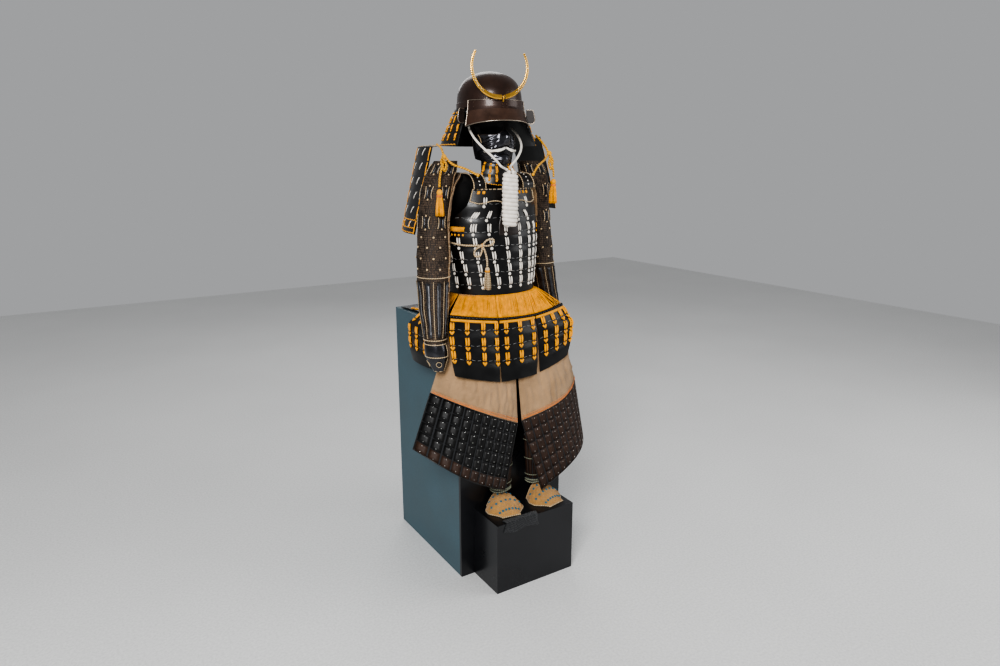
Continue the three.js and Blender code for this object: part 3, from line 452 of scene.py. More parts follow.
def lame_relief(count, step, lip=0.7):
    """Each lame starts a step proud of the one above and has a small rolled lip at its lower edge."""
    def relief(u, v):
        part = np.where(v >= 1 - 1e-9, 1.0, (v * count) % 1)
        return step * (1 - part) + lip * smooth_step((part - 0.82) / 0.12)
    return relief


def laced_lames(name, surface, count, step, thick, u_count, slot, node, coat=None, u_range=(-1, 1)):
    us = np.linspace(u_range[0], u_range[1], u_count)
    obj = wall(name, surface, us, lame_rows(count), thick, coat or LACQUER, lame_relief(count, step),
               sharp=50)
    return declare(obj, slot, node)


def u_per_mm(surface, u, v):
    e = 1e-2
    a, b = surface.point(np.array([u - e]), np.array([v])), surface.point(np.array([u + e]), np.array([v]))
    return 2 * e / max(np.linalg.norm(b - a), 1e-6)


def v_per_mm(surface, u, v):
    lo, hi = max(v - 1e-2, 0), min(v + 1e-2, 1)
    a, b = surface.point(np.array([u]), np.array([lo])), surface.point(np.array([u]), np.array([hi]))
    return (hi - lo) / max(np.linalg.norm(b - a), 1e-6)


def upright_cords(parts, surface, u, v0, v1, lift, spread=5.0, radius=2.4, count=2, lean=0.0, points=5):
    """Cords side by side up a surface; lean slants them, in millimetres."""
    per = u_per_mm(surface, u, (v0 + v1) / 2)
    for k in range(count):
        offset = (k - (count - 1) / 2) * spread * per
        t = np.linspace(0, 1, points)
        vs = mix(v0, v1, t)
        us = u + offset * (1 - 0.25 * np.sin(np.pi * t)) + lean * per * (t - 0.5)
        path = surface.at(us, np.clip(vs, 0, 1), lift * (0.55 + 0.45 * np.sin(np.pi * t)))
        tube(parts, path, radius, 5, 0.6, surface.normal(us, np.clip(vs, 0, 1)))


def lace_block(parts, surface, u, v, tall, radius, apart, count, knot, pointed=False, lean=0.0):
    """Short upright cords with a knot under them; v is the knot's middle."""
    down = v_per_mm(surface, u, v)
    across = u_per_mm(surface, u, v)
    foot = v - (knot + 3.0) * down
    for k in range(count):
        offset = (k - (count - 1) / 2) * apart
        t = np.linspace(0, 1, 5)
        us = u + (offset + lean * (t - 0.5) - 0.1 * offset * (1 - t)) * across
        vs = np.clip(foot - tall * down * t, 0, 1)
        path = surface.at(us, vs, 2.2 + 1.8 * np.sin(np.pi * t))
        tube(parts, path, radius * (0.82 + 0.18 * np.sin(np.pi * t)), 8, 0.62, surface.normal(us, vs))
    if pointed:
        for side in (-1, 1):
            us = u + np.array([side * 0.82, side * 0.6, -side * 0.12]) * knot * across
            vs = np.clip(v + np.array([-0.75, -0.2, 0.8]) * knot * down, 0, 1)
            tube(parts, surface.at(us, vs, 3.0), knot * 0.52, 7, 0.6, surface.normal(us, vs))
    else:
        balls(parts, surface.at([u], [v], 2.4), knot, surface.normal(np.array([u]), np.array([v])), 0.6)


def stitches(parts, surface, v, u0, u1, dash, gap, radius, lift, wave=0.0, slope=0.0):
    """A row of short stitches along u."""
    samples = np.linspace(u0, u1, 160)
    line = surface.point(samples, np.full(160, v))
    run = np.concatenate([[0], np.cumsum(np.linalg.norm(np.diff(line, axis=0), axis=1))])
    count = max(int(run[-1] / (dash + gap)), 1)
    pitch = run[-1] / count
    starts = (np.arange(count) + 0.5) * pitch
    per = v_per_mm(surface, (u0 + u1) / 2, v)
    for k, middle in enumerate(starts):
        ends = np.interp([middle - dash / 2, middle + dash / 2], run, samples)
        tilt = (wave if k % 2 else -wave) * per
        vs = np.clip([v - tilt, v + tilt + slope * per], 0, 1)
        path = surface.at(ends, vs, lift)
        tube(parts, path, radius, 4, 0.7, surface.normal(ends, vs))


def edge_cord(parts, surface, path_uv, radius, lift, count=60, sides=6):
    """A cord along a line of (u, v) on a surface."""
    uv = np.asarray(path_uv, float)
    t = np.linspace(0, len(uv) - 1, count)
    u, v = np.interp(t, range(len(uv)), uv[:, 0]), np.interp(t, range(len(uv)), uv[:, 1])
    tube(parts, surface.at(u, v, lift), radius, sides)


# Helmet
HELMET = {"y": -102, "turn": -9 * DEG, "width": 112, "depth": 128, "base": 1668, "top": 1790}


def on_helmet(p):
    c, s = math.cos(HELMET["turn"]), math.sin(HELMET["turn"])
    return np.stack([p[..., 0] * c - p[..., 1] * s, p[..., 0] * s + p[..., 1] * c + HELMET["y"], p[..., 2]],
                    -1)


BOWL_PROFILE = [(0, 1), (0.13, 1), (0.17, 0.985), (0.45, 0.945), (0.7, 0.81), (0.87, 0.58), (0.97, 0.27),
                (1.0, 0.006)]


def bowl_point(u, v):
    profile = spline(BOWL_PROFILE, 90)
    up = np.interp(v, np.linspace(0, 1, 90), profile[:, 0])
    out = np.clip(np.interp(v, np.linspace(0, 1, 90), profile[:, 1]), 0.006, 1.01)
    angle = u * 2 * np.pi
    height = HELMET["base"] + up * (HELMET["top"] - HELMET["base"])
    return on_helmet(ellipse(0, HELMET["width"] * out, HELMET["depth"] * out, angle, height))


BOWL_CORE = (0, -102, 1600)
BROW = {"turn": 62 * DEG, "top": 1692, "side": 1606, "rise": 18, "reach": 30, "clear": 4.4}


def brow_point(u, v):
    low = BROW["side"] + BROW["rise"] * (1 - u * u)
    z = mix(BROW["top"], low, v)
    edge = HELMET["base"] + 4
    below = np.maximum(edge - z, 0) / (edge - low)
    out = BROW["clear"] + BROW["reach"] * (1 - 0.55 * u * u) * below ** 1.3
    shrink = np.where(z > HELMET["base"], 0.035 * HELMET["depth"] * ((z - HELMET["base"]) / 50), 0)
    return on_helmet(ellipse(0, HELMET["width"] + out - shrink, HELMET["depth"] + out - shrink,
                             u * BROW["turn"], z))


def make_helmet():
    surface = Surface(bowl_point, BOWL_CORE)
    obj = wall("bowl", surface, np.linspace(0, 1, 97)[:-1], np.linspace(0, 1, 48), 2.2, RUSSET, sharp=60,
               closed=True)
    declare(obj, "russet_iron", "helmet_bowl")
    brow = Surface(brow_point, BOWL_CORE)
    us = np.linspace(-1, 1, 73)
    declare(wall("brow_upper", brow, us, np.linspace(0, 0.42, 9), 2.2, RUSSET, sharp=60), "russet_iron",
            "brow_plate")
    declare(wall("visor", brow, us, np.linspace(0.422, 1, 12), 2.2, RUSSET_LIGHTER, sharp=60), "russet_iron")
    rim = Parts()
    edge_cord(rim, brow, [(-1, 0.02), (-1, 1), (1, 1), (1, 0.02)], 1.9, 0.2, 200)
    edge_cord(rim, brow, [(-1, 0.02), (1, 0.02)], 1.2, 0.6, 80)
    declare(rim.build("visor_rim", BRIGHT_RIM), "russet_iron")
    studs = Parts()
    for u in (-0.055, 0.055):
        for v in (0.1, 0.24, 0.38):
            knot(studs, brow, u, v, 1.2, 2.9, 0.6)
    for u in (-0.82, 0.82):
        for v in (0.12, 0.3):
            knot(studs, brow, u, v, 1.0, 2.2, 0.6)
    declare(studs.build("brow_rivets", RUSSET_LIGHTER), "russet_iron")
    make_crest()
    make_neck_guard()
    make_turn_backs()


CREST = {"x": -19, "prong": -6, "y": -138, "bottom": 1697, "half_width": 98, "radius": 92,
         "reach": 120 * DEG, "thick": 14, "flat": 0.42}


def make_crest():
    t = np.linspace(0, 1, 240)
    angle = mix(-CREST["reach"], CREST["reach"], t)
    far = np.abs(2 * t - 1)
    slim = mix(1.12, 0.6, far ** 1.2)
    path = np.stack([CREST["x"] + np.sin(angle) * CREST["half_width"], np.full_like(t, CREST["y"]),
                     CREST["bottom"] + CREST["radius"] * (1 - np.cos(angle))], -1)
    twist = smooth_step((far - 0.26) / 0.1)
    ribs = 1 - 0.2 * twist * (0.5 - 0.5 * np.cos(2 * np.pi * t * 64))
    gap = 1 - 0.3 * np.exp(-((t - 0.532) / 0.008) ** 2)
    radius = CREST["thick"] / 2 * slim * ribs * gap
    across = np.broadcast_to(on_helmet(np.array([0, 1.0, 0])) - on_helmet(np.zeros(3)), path.shape)
    parts = Parts()
    tube(parts, on_helmet(path), radius, 10, CREST["flat"], across)
    prong = np.array([[CREST["prong"], CREST["y"] + 3.4, CREST["bottom"] - 14],
                      [CREST["prong"], CREST["y"], CREST["bottom"] + 2]])
    tube(parts, on_helmet(prong), 3, 8)
    declare(parts.build("crescent", GOLD, sharp=70), "gilt", "crest")
    beads = Parts()
    marks = [m for m in (np.arange(64) + 0.0) / 64 if 0.3 < abs(2 * m - 1) < 0.97]
    for m in marks:
        k = int(m * 239)
        tip = on_helmet(path[k:k + 1] + np.array([[0, -CREST["thick"] / 2 * slim[k] * 0.38, 0]]))
        balls(beads, tip, 1.5 * slim[k] + 0.4, across[k:k + 1], 1.0, 5)
    declare(beads.build("crescent_beads", SILVER), "gilt")
    bands = Parts()
    for m in (0.519, 0.545):
        k = int(m * 239)
        ring = [path[k] + (CREST["thick"] / 2 + 0.7) * (math.cos(a) * np.array([0, 0, 1]) + CREST["flat"]
                                                        * 1.2 * math.sin(a)
                                                      * np.array([0, 1, 0]))
                                                      for a in np.linspace(0, 2 * np.pi, 17)]
        tube(bands, on_helmet(np.array(ring)), 1.1, 5)
    declare(bands.build("crescent_binding", RUSSET), "gilt")


NECK = {"lames": 4, "step": 3, "top": 1664, "bottom": 1546, "turn": 113.5 * DEG, "reach": 3, "flare": 58}


def neck_point(u, v):
    out = NECK["reach"] + NECK["flare"] * v * (1 - 0.25 * np.abs(u) ** 3)
    z = mix(NECK["top"], NECK["bottom"], v)
    return on_helmet(ellipse(0, HELMET["width"] + out, HELMET["depth"] + out, np.pi + u * NECK["turn"], z))


def make_neck_guard():
    surface = Surface(neck_point, (0, -102, 1900))
    surface.core = None
    sample = surface.normal(np.array([0.0]), np.array([0.5]))[0]
    surface.sign = 1 if sample[1] > 0 else -1
    laced_lames("neck_lames", surface, NECK["lames"], NECK["step"], 2.4, 97, "lacquer", "neck_guard")
    lacing, knots, edge = Parts(), Parts(), Parts()
    for u in np.linspace(-0.95, 0.95, 17):
        for k in range(1, NECK["lames"]):
            v = k / NECK["lames"]
            upright_cords(lacing, surface, u, v - 0.07, v + 0.07, 4.4, 6.0, 2.3)
        for k in range(NECK["lames"]):
            v = (k + 0.42) / NECK["lames"]
            lift = NECK["step"] * 0.6 + 1.2
            balls(knots, surface.at([u], [v], lift), 4.2, surface.normal(np.array([u]), np.array([v])), 0.45)
    for v in (0.985,):
        stitches(edge, surface, v, -0.98, 0.98, 6.5, 1.5, 2.0, 0.9, 1.2)
    declare(lacing.build("neck_lacing", YELLOW_PLAIN), "yellow_silk")
    declare(knots.build("neck_knots", YELLOW_PLAIN), "yellow_silk")
    declare(edge.build("neck_edge_stitch", YELLOW_PLAIN), "yellow_silk")


def make_turn_backs():
    for side, name in ((-1, "right"), (1, "left")):
        turn = side * 65.3 * DEG
        hinge = np.array([HELMET["width"] * math.sin(turn), -HELMET["depth"] * math.cos(turn), 0])
        out = np.array([math.sin(turn), -math.cos(turn), 0])

        def point(u, v, hinge=hinge, out=out):
            reach = 13 + v * 30 * (1 - 0.25 * (2 * u - 1) ** 2)
            z = mix(1664, 1618, u) - 8 * np.sin(np.pi * u) * v
            p = hinge + out * reach[..., None]
            return on_helmet(np.stack([p[..., 0], p[..., 1], z], -1))

        surface = Surface(point, (0, 200, 1640))
        obj = wall(f"turnback_plate_{name}", surface, np.linspace(0, 1, 25), np.linspace(0, 1, 13), 2.4,
                   STRIP_LACQUER, sharp=60)
        declare(obj, "lacquer", f"turnback_{name}")
        rim = Parts()
        edge_cord(rim, surface, [(0, 0), (0, 1), (0.25, 1), (0.5, 1), (0.75, 1), (1, 1), (1, 0)], 1.7, -1.2,
                  90)
        declare(rim.build(f"turnback_rim_{name}", BRIGHT_RIM), "lacquer")


make_helmet()


# Face
MASK = {"y": -104, "width": 79, "depth": 98, "turn": 82 * DEG, "nose": 1598, "cheek": 1580, "jaw": 1484}


def bell(x, middle, wide):
    return np.exp(-((x - middle) / wide) ** 2)


def mask_point(u, v):
    turn = u * MASK["turn"]
    z = mix(mix(MASK["cheek"], MASK["nose"], bell(u, 0, 0.16)), MASK["jaw"] + 16 * u * u, v)
    taper = mix(1, 0.84, v * v)
    a, b = MASK["width"] * taper, MASK["depth"] * mix(1, 0.97, v)
    base = ellipse(MASK["y"], a, b, turn, z)
    normal = unit(np.stack([np.sin(turn) / a, -np.cos(turn) / b, np.zeros_like(turn)], -1))
    far = np.abs(u)
    out = 26 * bell(u, 0, 0.13) * np.maximum(np.sin(np.pi * np.minimum(v / 0.5, 1)), 0) ** 0.8
    out = out + 7 * bell(far, 0.42, 0.18) * np.sin(np.pi * np.minimum(v / 0.7, 1))
    out = out - 7 * bell(u, 0, 0.24) * bell(v, 0.64, 0.06) + 9 * bell(u, 0, 0.22) * bell(v, 0.86, 0.12)
    wrinkle = np.sin(46 * (v - 0.55 * far) + 1.0) * bell(far, 0.48, 0.2) * bell(v, 0.34, 0.24)
    nostril = bell(far, 0.1, 0.045) * bell(v, 0.42, 0.07)
    fold = bell(far, 0.24 + 0.2 * v, 0.035) * bell(v, 0.52, 0.2)
    chin = np.sin(60 * v) * bell(v, 0.86, 0.12) * bell(far, 0.3, 0.22)
    out = out + 1.7 * wrinkle + 3.2 * nostril - 3.0 * fold + 0.9 * chin
    return base + normal * out[..., None]


def make_face():
    surface = Surface(mask_point, (0, -60, 1540))
    obj = wall("mask_plate", surface, np.linspace(-1, 1, 141), np.linspace(0, 1, 80), 2.2, IRON, sharp=60)
    declare(obj, "dark_iron", "face_mask")
    rim = Parts()
    edge_cord(rim, surface, [(-1, 1), (-1, 0)] + [(u, 0) for u in np.linspace(-0.95, 0.95, 40)]
              + [(1, 0), (1, 1)], 2.0, -1, 260)
    declare(rim.build("mask_rim", STRIP_LACQUER), "dark_iron")
    mouth = Parts()
    us = np.linspace(-0.3, 0.3, 31)
    t = us / 0.3
    half = 0.034 * np.sqrt(np.maximum(1 - t * t, 0)) + 0.002
    middle = 0.635 + 0.02 * t * t
    top, low = surface.at(us, middle - half, 0.5), surface.at(us, middle + half, 0.5)
    inner = surface.at(us, middle, 0.9)
    points = np.concatenate([top, inner, low])
    n = len(us)
    faces = [[r * n + j, r * n + j + 1, (r + 1) * n + j + 1,
              (r + 1) * n + j] for r in (0, 1) for j in range(n - 1)]
    mouth.add(points, faces)
    declare(mouth.build("mouth_shadow", STAND_BLACK), "dark_iron")
    lips = Parts()
    for offset in (-0.04, 0.045):
        t = np.linspace(-1, 1, 30)
        v = 0.635 + 0.02 * t * t + offset * np.sqrt(np.maximum(1 - (0.97 * t) ** 2, 0))
        tube(lips, surface.at(0.31 * t, v, 0.8), 2.1 - 0.9 * np.abs(t), 6)
    declare(lips.build("mask_lips", IRON), "dark_iron")
    teeth = Parts()
    for t in np.linspace(-0.62, 0.62, 8):
        balls(teeth, surface.at([0.3 * t], [0.612 + 0.012 * t * t], 0.6), 2.4,
              surface.normal(np.array([0.3 * t]), np.array([0.61])), 0.4, 6)
    declare(teeth.build("mask_teeth", GREY_STITCH), "dark_iron")
    make_moustache(surface)
    eye = Parts()
    tube(eye, surface.at(np.array([-0.78, -0.72, -0.68]), np.array([0.0, 0.12, 0.3]), 2.4), 1.8, 6)
    tube(eye, surface.at(np.array([0.78, 0.72, 0.68]), np.array([0.0, 0.12, 0.3]), 2.4), 1.8, 6)
    declare(eye.build("mask_cords", TAN_CORD), "tan_silk")


def make_moustache(surface):
    hairs = Parts()
    rng = random.Random(5)
    for side in (-1, 1):
        for k in range(110):
            start = side * (0.015 + 0.05 * rng.random())
            end = side * (0.42 + 0.22 * rng.random())
            t = np.linspace(0, 1, 7)
            u = mix(start, end, t)
            drop = rng.uniform(-0.045, 0.045)
            v = 0.52 + 0.12 * u * u + drop * (0.4 + 0.6 * t) + 0.02 * t ** 2
            lift = 5.0 + 4.5 * np.sin(np.pi * np.minimum(t + 0.25, 1)) + rng.uniform(-1.2, 1.6)
            tube(hairs, surface.at(u, v, lift), (1.15 - 0.75 * t), 4)
    declare(hairs.build("moustache_hair", HAIR), "white_silk", "moustache")


THROAT = {"top": 1497, "bottom": 1412, "turn": 56 * DEG, "flare": 26, "lames": 3, "step": 2}


def throat_point(u, v):
    out = THROAT["flare"] * v - 4.5
    z = mix(THROAT["top"], THROAT["bottom"], v) + 14 * u * u * v
    return ellipse(MASK["y"], MASK["width"] * 0.84 + out * 1.5,
                   MASK["depth"] * 0.95 + out * 0.4 - 8 * (1 - v), u * THROAT["turn"], z)


def make_throat():
    surface = Surface(throat_point, (0, -60, 1450))
    laced_lames("throat_lames", surface, 3, 2, 2.2, 61, "lacquer", "throat_guard", DARK_LEATHER)
    lacing, bits = Parts(), Parts()
    for u in (-0.92, -0.62, -0.34, 0.34, 0.62, 0.92):
        for k in range(3):
            v0 = max((k - 0.25) / 3, 0.01)
            upright_cords(lacing, surface, u, v0, (k + 0.42) / 3, 3.4, 5.0, 2.2, lean=3)
            middle = (k + 0.5) / 3
            knot(lacing, surface, u, middle, 2.6, 4.4, 0.5)
    stitches(lacing, surface, 0.985, -0.98, 0.98, 5.5, 2.5, 1.7, 0.9, 1.0)
    upright_cords(bits, surface, 0.8, 0.02, 0.3, 4.2, 4.0, 2.2)
    declare(lacing.build("throat_lacing", YELLOW_PLAIN), "yellow_silk")
    declare(bits.build("throat_orange_cord", ORANGE), "yellow_silk")


CHIN = {"radius": 3.6, "bundle": 30, "depth": 19, "length": 186, "x": -20, "y": -268, "top": 1462}


def make_chin_cord():
    for side, name in ((-1, "right"), (1, "left")):
        points = []
        for t in np.linspace(0, 1, 8):
            taper = mix(1, 0.9, t)
            turn = side * mix(1.06, 0.14, t) * MASK["turn"]
            a, b = MASK["width"] * taper, MASK["depth"] * taper
            normal = unit(np.array([math.sin(turn) / a, -math.cos(turn) / b, 0]))
            out = CHIN["radius"] + 4 + 12 * t + 16 * math.sin(math.pi * t)
            z = mix(1606, CHIN["top"] + 14, t ** 1.05)
            points.append(ellipse(MASK["y"], a, b, turn, z) + normal * out)
        points.append([CHIN["x"] + side * 10, CHIN["y"] + 4, CHIN["top"] + 4])
        parts = Parts()
        tube(parts, spline(points, 70), CHIN["radius"] + 0.5, 10)
        declare(parts.build(f"helmet_cord_{name}", WHITE_PLAIN), "white_silk", f"chin_cord_{name}")
    turns = 13
    t = np.linspace(0, 1, 13 * 26)
    angle = 2 * np.pi * turns * t
    size = (1 - 0.2 * (2 * t - 1) ** 8)
    path = np.stack([CHIN["x"] + 2.4 * t + (CHIN["bundle"] - 6.4) * size * np.cos(angle),
                     CHIN["y"] + 6 * t + (CHIN["depth"] - 6.4) * size * np.sin(angle),
                     CHIN["top"] - 7 - t * (CHIN["length"] - 14)], -1)
    coil = Parts()
    tube(coil, path, 7.0, 10)
    declare(coil.build("helmet_cord_coil", WHITE_PLAIN), "white_silk", "chin_cord_bundle")
    ends = Parts()
    for dx in (-8, 8):
        loop = spline([[CHIN["x"] + dx, CHIN["y"] - 4, CHIN["top"] - 12],
                       [CHIN["x"] + dx, CHIN["y"] - 5, CHIN["top"] - 2],
                       [CHIN["x"] + dx, CHIN["y"] + 6, CHIN["top"] - 8]], 14)
        tube(ends, loop, 5.2, 8)
    for dx in (-9, 9):
        tube(ends, np.array([[CHIN["x"] + 2 + dx, CHIN["y"] + 6, CHIN["top"] - CHIN["length"] + 20],
                             [CHIN["x"] + 2 + dx, CHIN["y"] + 6, CHIN["top"] - CHIN["length"] + 1]]), 7, 10)
    declare(ends.build("helmet_cord_ends", WHITE_PLAIN), "white_silk")


make_face()
make_throat()
make_chin_cord()


# Cuirass
BODY_Y = -110
FRONT_ROWS = [(1402, 45, 168, 108), (1345, 53, 172, 116), (1285, 86, 175, 122), (1268, 89.9, 176, 124),
              (1200, 89.9, 175, 128), (1120, 89.9, 169, 130), (1040, 89.9, 163, 128)]
BACK_ROWS = [(1425, 48, 168, 110), (1345, 56, 172, 116)] + FRONT_ROWS[2:]
LAMES = 7


def cuirass_point(rows, facing):
    def point(u, v):
        z = mix(rows[0][0], 1040, v)
        turn, half_width, half_depth = columns(rows, z)
        return ellipse(BODY_Y, half_width, half_depth, facing + u * turn * DEG, z)
    return point


FRONT = Surface(cuirass_point(FRONT_ROWS, 0), (0, BODY_Y, 1200))
BACK = Surface(cuirass_point(BACK_ROWS, math.pi), (0, BODY_Y, 1200))


def turn_at(rows, v):
    return columns(rows, mix(rows[0][0], 1040, v))[0]


LACING_ROWS = (0.161, 0.289, 0.42, 0.55, 0.679, 0.8, 0.926)
# Columns of lacing: turn at the top row, turn at the bottom row, first row, cords in a block
FRONT_COLUMNS = [(-50, -36, 0, 3), (-31, -15.5, 0, 2), (-8.5, 0, 0, 2), (12, 16, 0, 2), (29, 33, 0, 2),
                 (-78, -54, 3, 2), (46, 41, 2, 2), (64, 54, 3, 2), (-98, -74, 4, 2), (80, 70, 4, 2)]
BACK_COLUMNS = [(turn, turn * 0.8, 1 if abs(turn) < 45 else 3, 2) for turn in (-84, -64, -42, -25, -8, 8,
                                                                               25, 42, 64, 84)]


def make_cuirass():
    for surface, rows, name, columns_at in ((FRONT, FRONT_ROWS, "front", FRONT_COLUMNS),
                                            (BACK, BACK_ROWS, "back", BACK_COLUMNS)):
        laced_lames(f"cuirass_lames_{name}", surface, LAMES, 2.4, 2.6, 109, "lacquer", f"cuirass_{name}")
        white, grey = Parts(), Parts()
        for top, bottom, first, count in columns_at:
            for k, v in enumerate(LACING_ROWS):
                turn = mix(top, bottom, k / 6)
                reach = float(turn_at(rows, v))
                if k < first or abs(turn) > reach - 5 or (name == "front" and k < 2 and abs(turn) < 12):
                    continue
                three = count if k < 3 else 2
                lean = 3.0 * math.copysign(1, bottom - top) * (1 if abs(bottom - top) > 6 else 0.3)
                lace_block(white, surface, turn / reach, v, 27, 2.9, 8.6, three, 6.0, lean=-lean)
        for v in LACING_ROWS[(0 if name == "front" else 1):]:
            stitches(grey, surface, v - 0.024, -0.985, 0.985, 13.0, 8.0, 0.8, 1.6, 1.0)
        declare(white.build(f"cuirass_lacing_{name}", WHITE_PLAIN), "white_silk")
        declare(grey.build(f"cuirass_stitches_{name}", GREY_STITCH), "white_silk")
        yellow_work(surface, rows, name)
    make_breast_plate()


SQUARE = {"tall": (0.02, 0.046), "apart": 4.6, "radius": 3.4}
EDGE_KNOTS = {"turn": 42, "pitch": 5.4, "v": 0.008, "clear": 14}
SIDE_BAND = {"top": 0.35, "bottom": 0.392, "dots": 0.425, "pitch": 2.1, "dot_pitch": 6.4}


def yellow_work(surface, rows, name):
    """The squares along the top edge and, on the front, the bands under the arms."""
    gold, bumps = Parts(), Parts()
    front = name == "front"
    reach = float(turn_at(rows, 0.03))
    low, high = SQUARE["tall"] if front else (0.02, 0.04)
    for turn in (-37, -30.5, 17, 23.5, 30) if front else np.arange(-42, 43, 7):
        upright_cords(gold, surface, turn / reach, low, high, 3.4 if front else 3.0, SQUARE["apart"],
                      SQUARE["radius"], 2)
    if front:
        for turn in np.arange(-EDGE_KNOTS["turn"], EDGE_KNOTS["turn"] + 1, EDGE_KNOTS["pitch"]):
            if abs(turn) > EDGE_KNOTS["clear"]:
                knot(bumps, surface, turn / reach, EDGE_KNOTS["v"], 3.0, 4.2, 0.6)
        reach = float(turn_at(rows, 0.38))
        for side, first, last in ((-1, 58, 86), (1, 62, 86)):
            for turn in np.arange(first, last, SIDE_BAND["pitch"]):
                upright_cords(gold, surface, side * turn / reach, SIDE_BAND["top"], SIDE_BAND["bottom"],
                              3.2, 4, 3.3, 1)
            for turn in np.arange(first + 1, last, SIDE_BAND["dot_pitch"]):
                knot(gold, surface, side * turn / reach, SIDE_BAND["dots"], 2.4, 4.4, 0.6)
    declare(gold.build(f"cuirass_knots_{name}", YELLOW_PLAIN), "yellow_silk")
    if front:
        declare(bumps.build("cuirass_edge_knots", LACQUER), "lacquer")


def make_breast_plate():
    leather = wall("breast_plate", Surface(lambda u, v: FRONT.at(u * (1 - 0.05 * v), 0.004 + 0.118 * v,
                                                                 2.9), (0, BODY_Y, 1200)),
                   np.linspace(-0.99, 0.99, 81), np.linspace(0, 1, 9), 0.35, DARK_LEATHER, sharp=60)
    declare(leather, "lacquer")
    piping = Parts()
    line = [(u, 0.122 + 0.012 * math.cos(u * 9)) for u in np.linspace(-0.95, 0.95, 60)]
    edge_cord(piping, FRONT, [(-0.99, 0.004), (-0.955, 0.12)] + line + [(0.955, 0.12), (0.99, 0.004)], 2.1,
              3.8, 200)
    edge_cord(piping, FRONT, [(u, 0.004) for u in np.linspace(-0.99, 0.99, 30)], 2.3, 1.6, 100)
    edge_cord(piping, BACK, [(u, 0.004) for u in np.linspace(-0.99, 0.99, 30)], 2.3, 1.6, 100)
    declare(piping.build("breast_piping", TAN_CORD), "tan_silk")
    strip = Surface(lambda u, v: FRONT.at(u * 0.16, 0.13 + v * 0.3, 3.1), (0, BODY_Y, 1200))
    declare(wall("breast_strip", strip, np.linspace(-1, 1, 15), np.linspace(0, 1, 24), 0.35, STRIP_LACQUER),
            "lacquer")


STRAP_LINE = [(-203, 1403), (-198, 1425), (-176, 1446), (-140, 1452.6), (-60, 1452.6), (-32, 1447),
              (-19, 1434), (-16, 1427.5)]


def make_straps():
    line = np.array([(0, y, z) for y, z in STRAP_LINE], float)
    fine = spline(line, 80)
    for side, name in ((-1, "right"), (1, "left")):
        def point(u, v, side=side):
            y = np.interp(v, np.linspace(0, 1, 80), fine[:, 1])
            z = np.interp(v, np.linspace(0, 1, 80), fine[:, 2])
            return np.stack([side * (99 + 24 * u), y, z], -1)
        surface = Surface(point, (side * 99, BODY_Y, 1300))
        obj = wall(f"strap_{name}", surface, np.linspace(-1, 1, 9), np.linspace(0, 1, 60), 2.4,
                   DARK_LEATHER, sharp=60)
        declare(obj, "lacquer", f"shoulder_strap_{name}")
        trim = Parts()
        for u in (-0.96, 0.96):
            edge_cord(trim, surface, [(u, 0), (u, 1)], 1.9, 0.6, 70)
        declare(trim.build(f"strap_piping_{name}", TAN_CORD), "tan_silk")
        dots = Parts()
        for v in np.linspace(0.08, 0.92, 12):
            knot(dots, surface, 0.0, v, 0.8, 3.0, 0.5)
        declare(dots.build(f"strap_knots_{name}", WHITE_PLAIN), "white_silk")


make_cuirass()
make_straps()


# Waist cord and tassels
def on_front(turn, z, out):
    rows = (1402 - z) / (1402 - 1040)
    reach = float(turn_at(FRONT_ROWS, rows))
    return FRONT.at([turn * 89.9 / 90 / reach], [rows], out)[0]


def strands(parts, top, radius, length, count, thick, seed, flare=1.35):
    """Threads that hang from a small ring and spread a little."""
    rng = random.Random(seed)
    for k in range(count):
        angle = 2 * math.pi * k / count + rng.uniform(-0.1, 0.1)
        share = math.sqrt(rng.random())
        start = radius * 0.7 * share
        end = radius * flare * share
        t = np.linspace(0, 1, 6)
        out = mix(start, end, t) + radius * 0.16 * np.sin(np.pi * t)
        wave = rng.uniform(-0.5, 0.5) * np.sin(5 * t)
        path = np.stack([top[0] + out * math.cos(angle) + wave, top[1] + out * math.sin(angle) + wave,
                         top[2] - length * t * rng.uniform(0.95, 1.0)], -1)
        tube(parts, path, thick, 5)


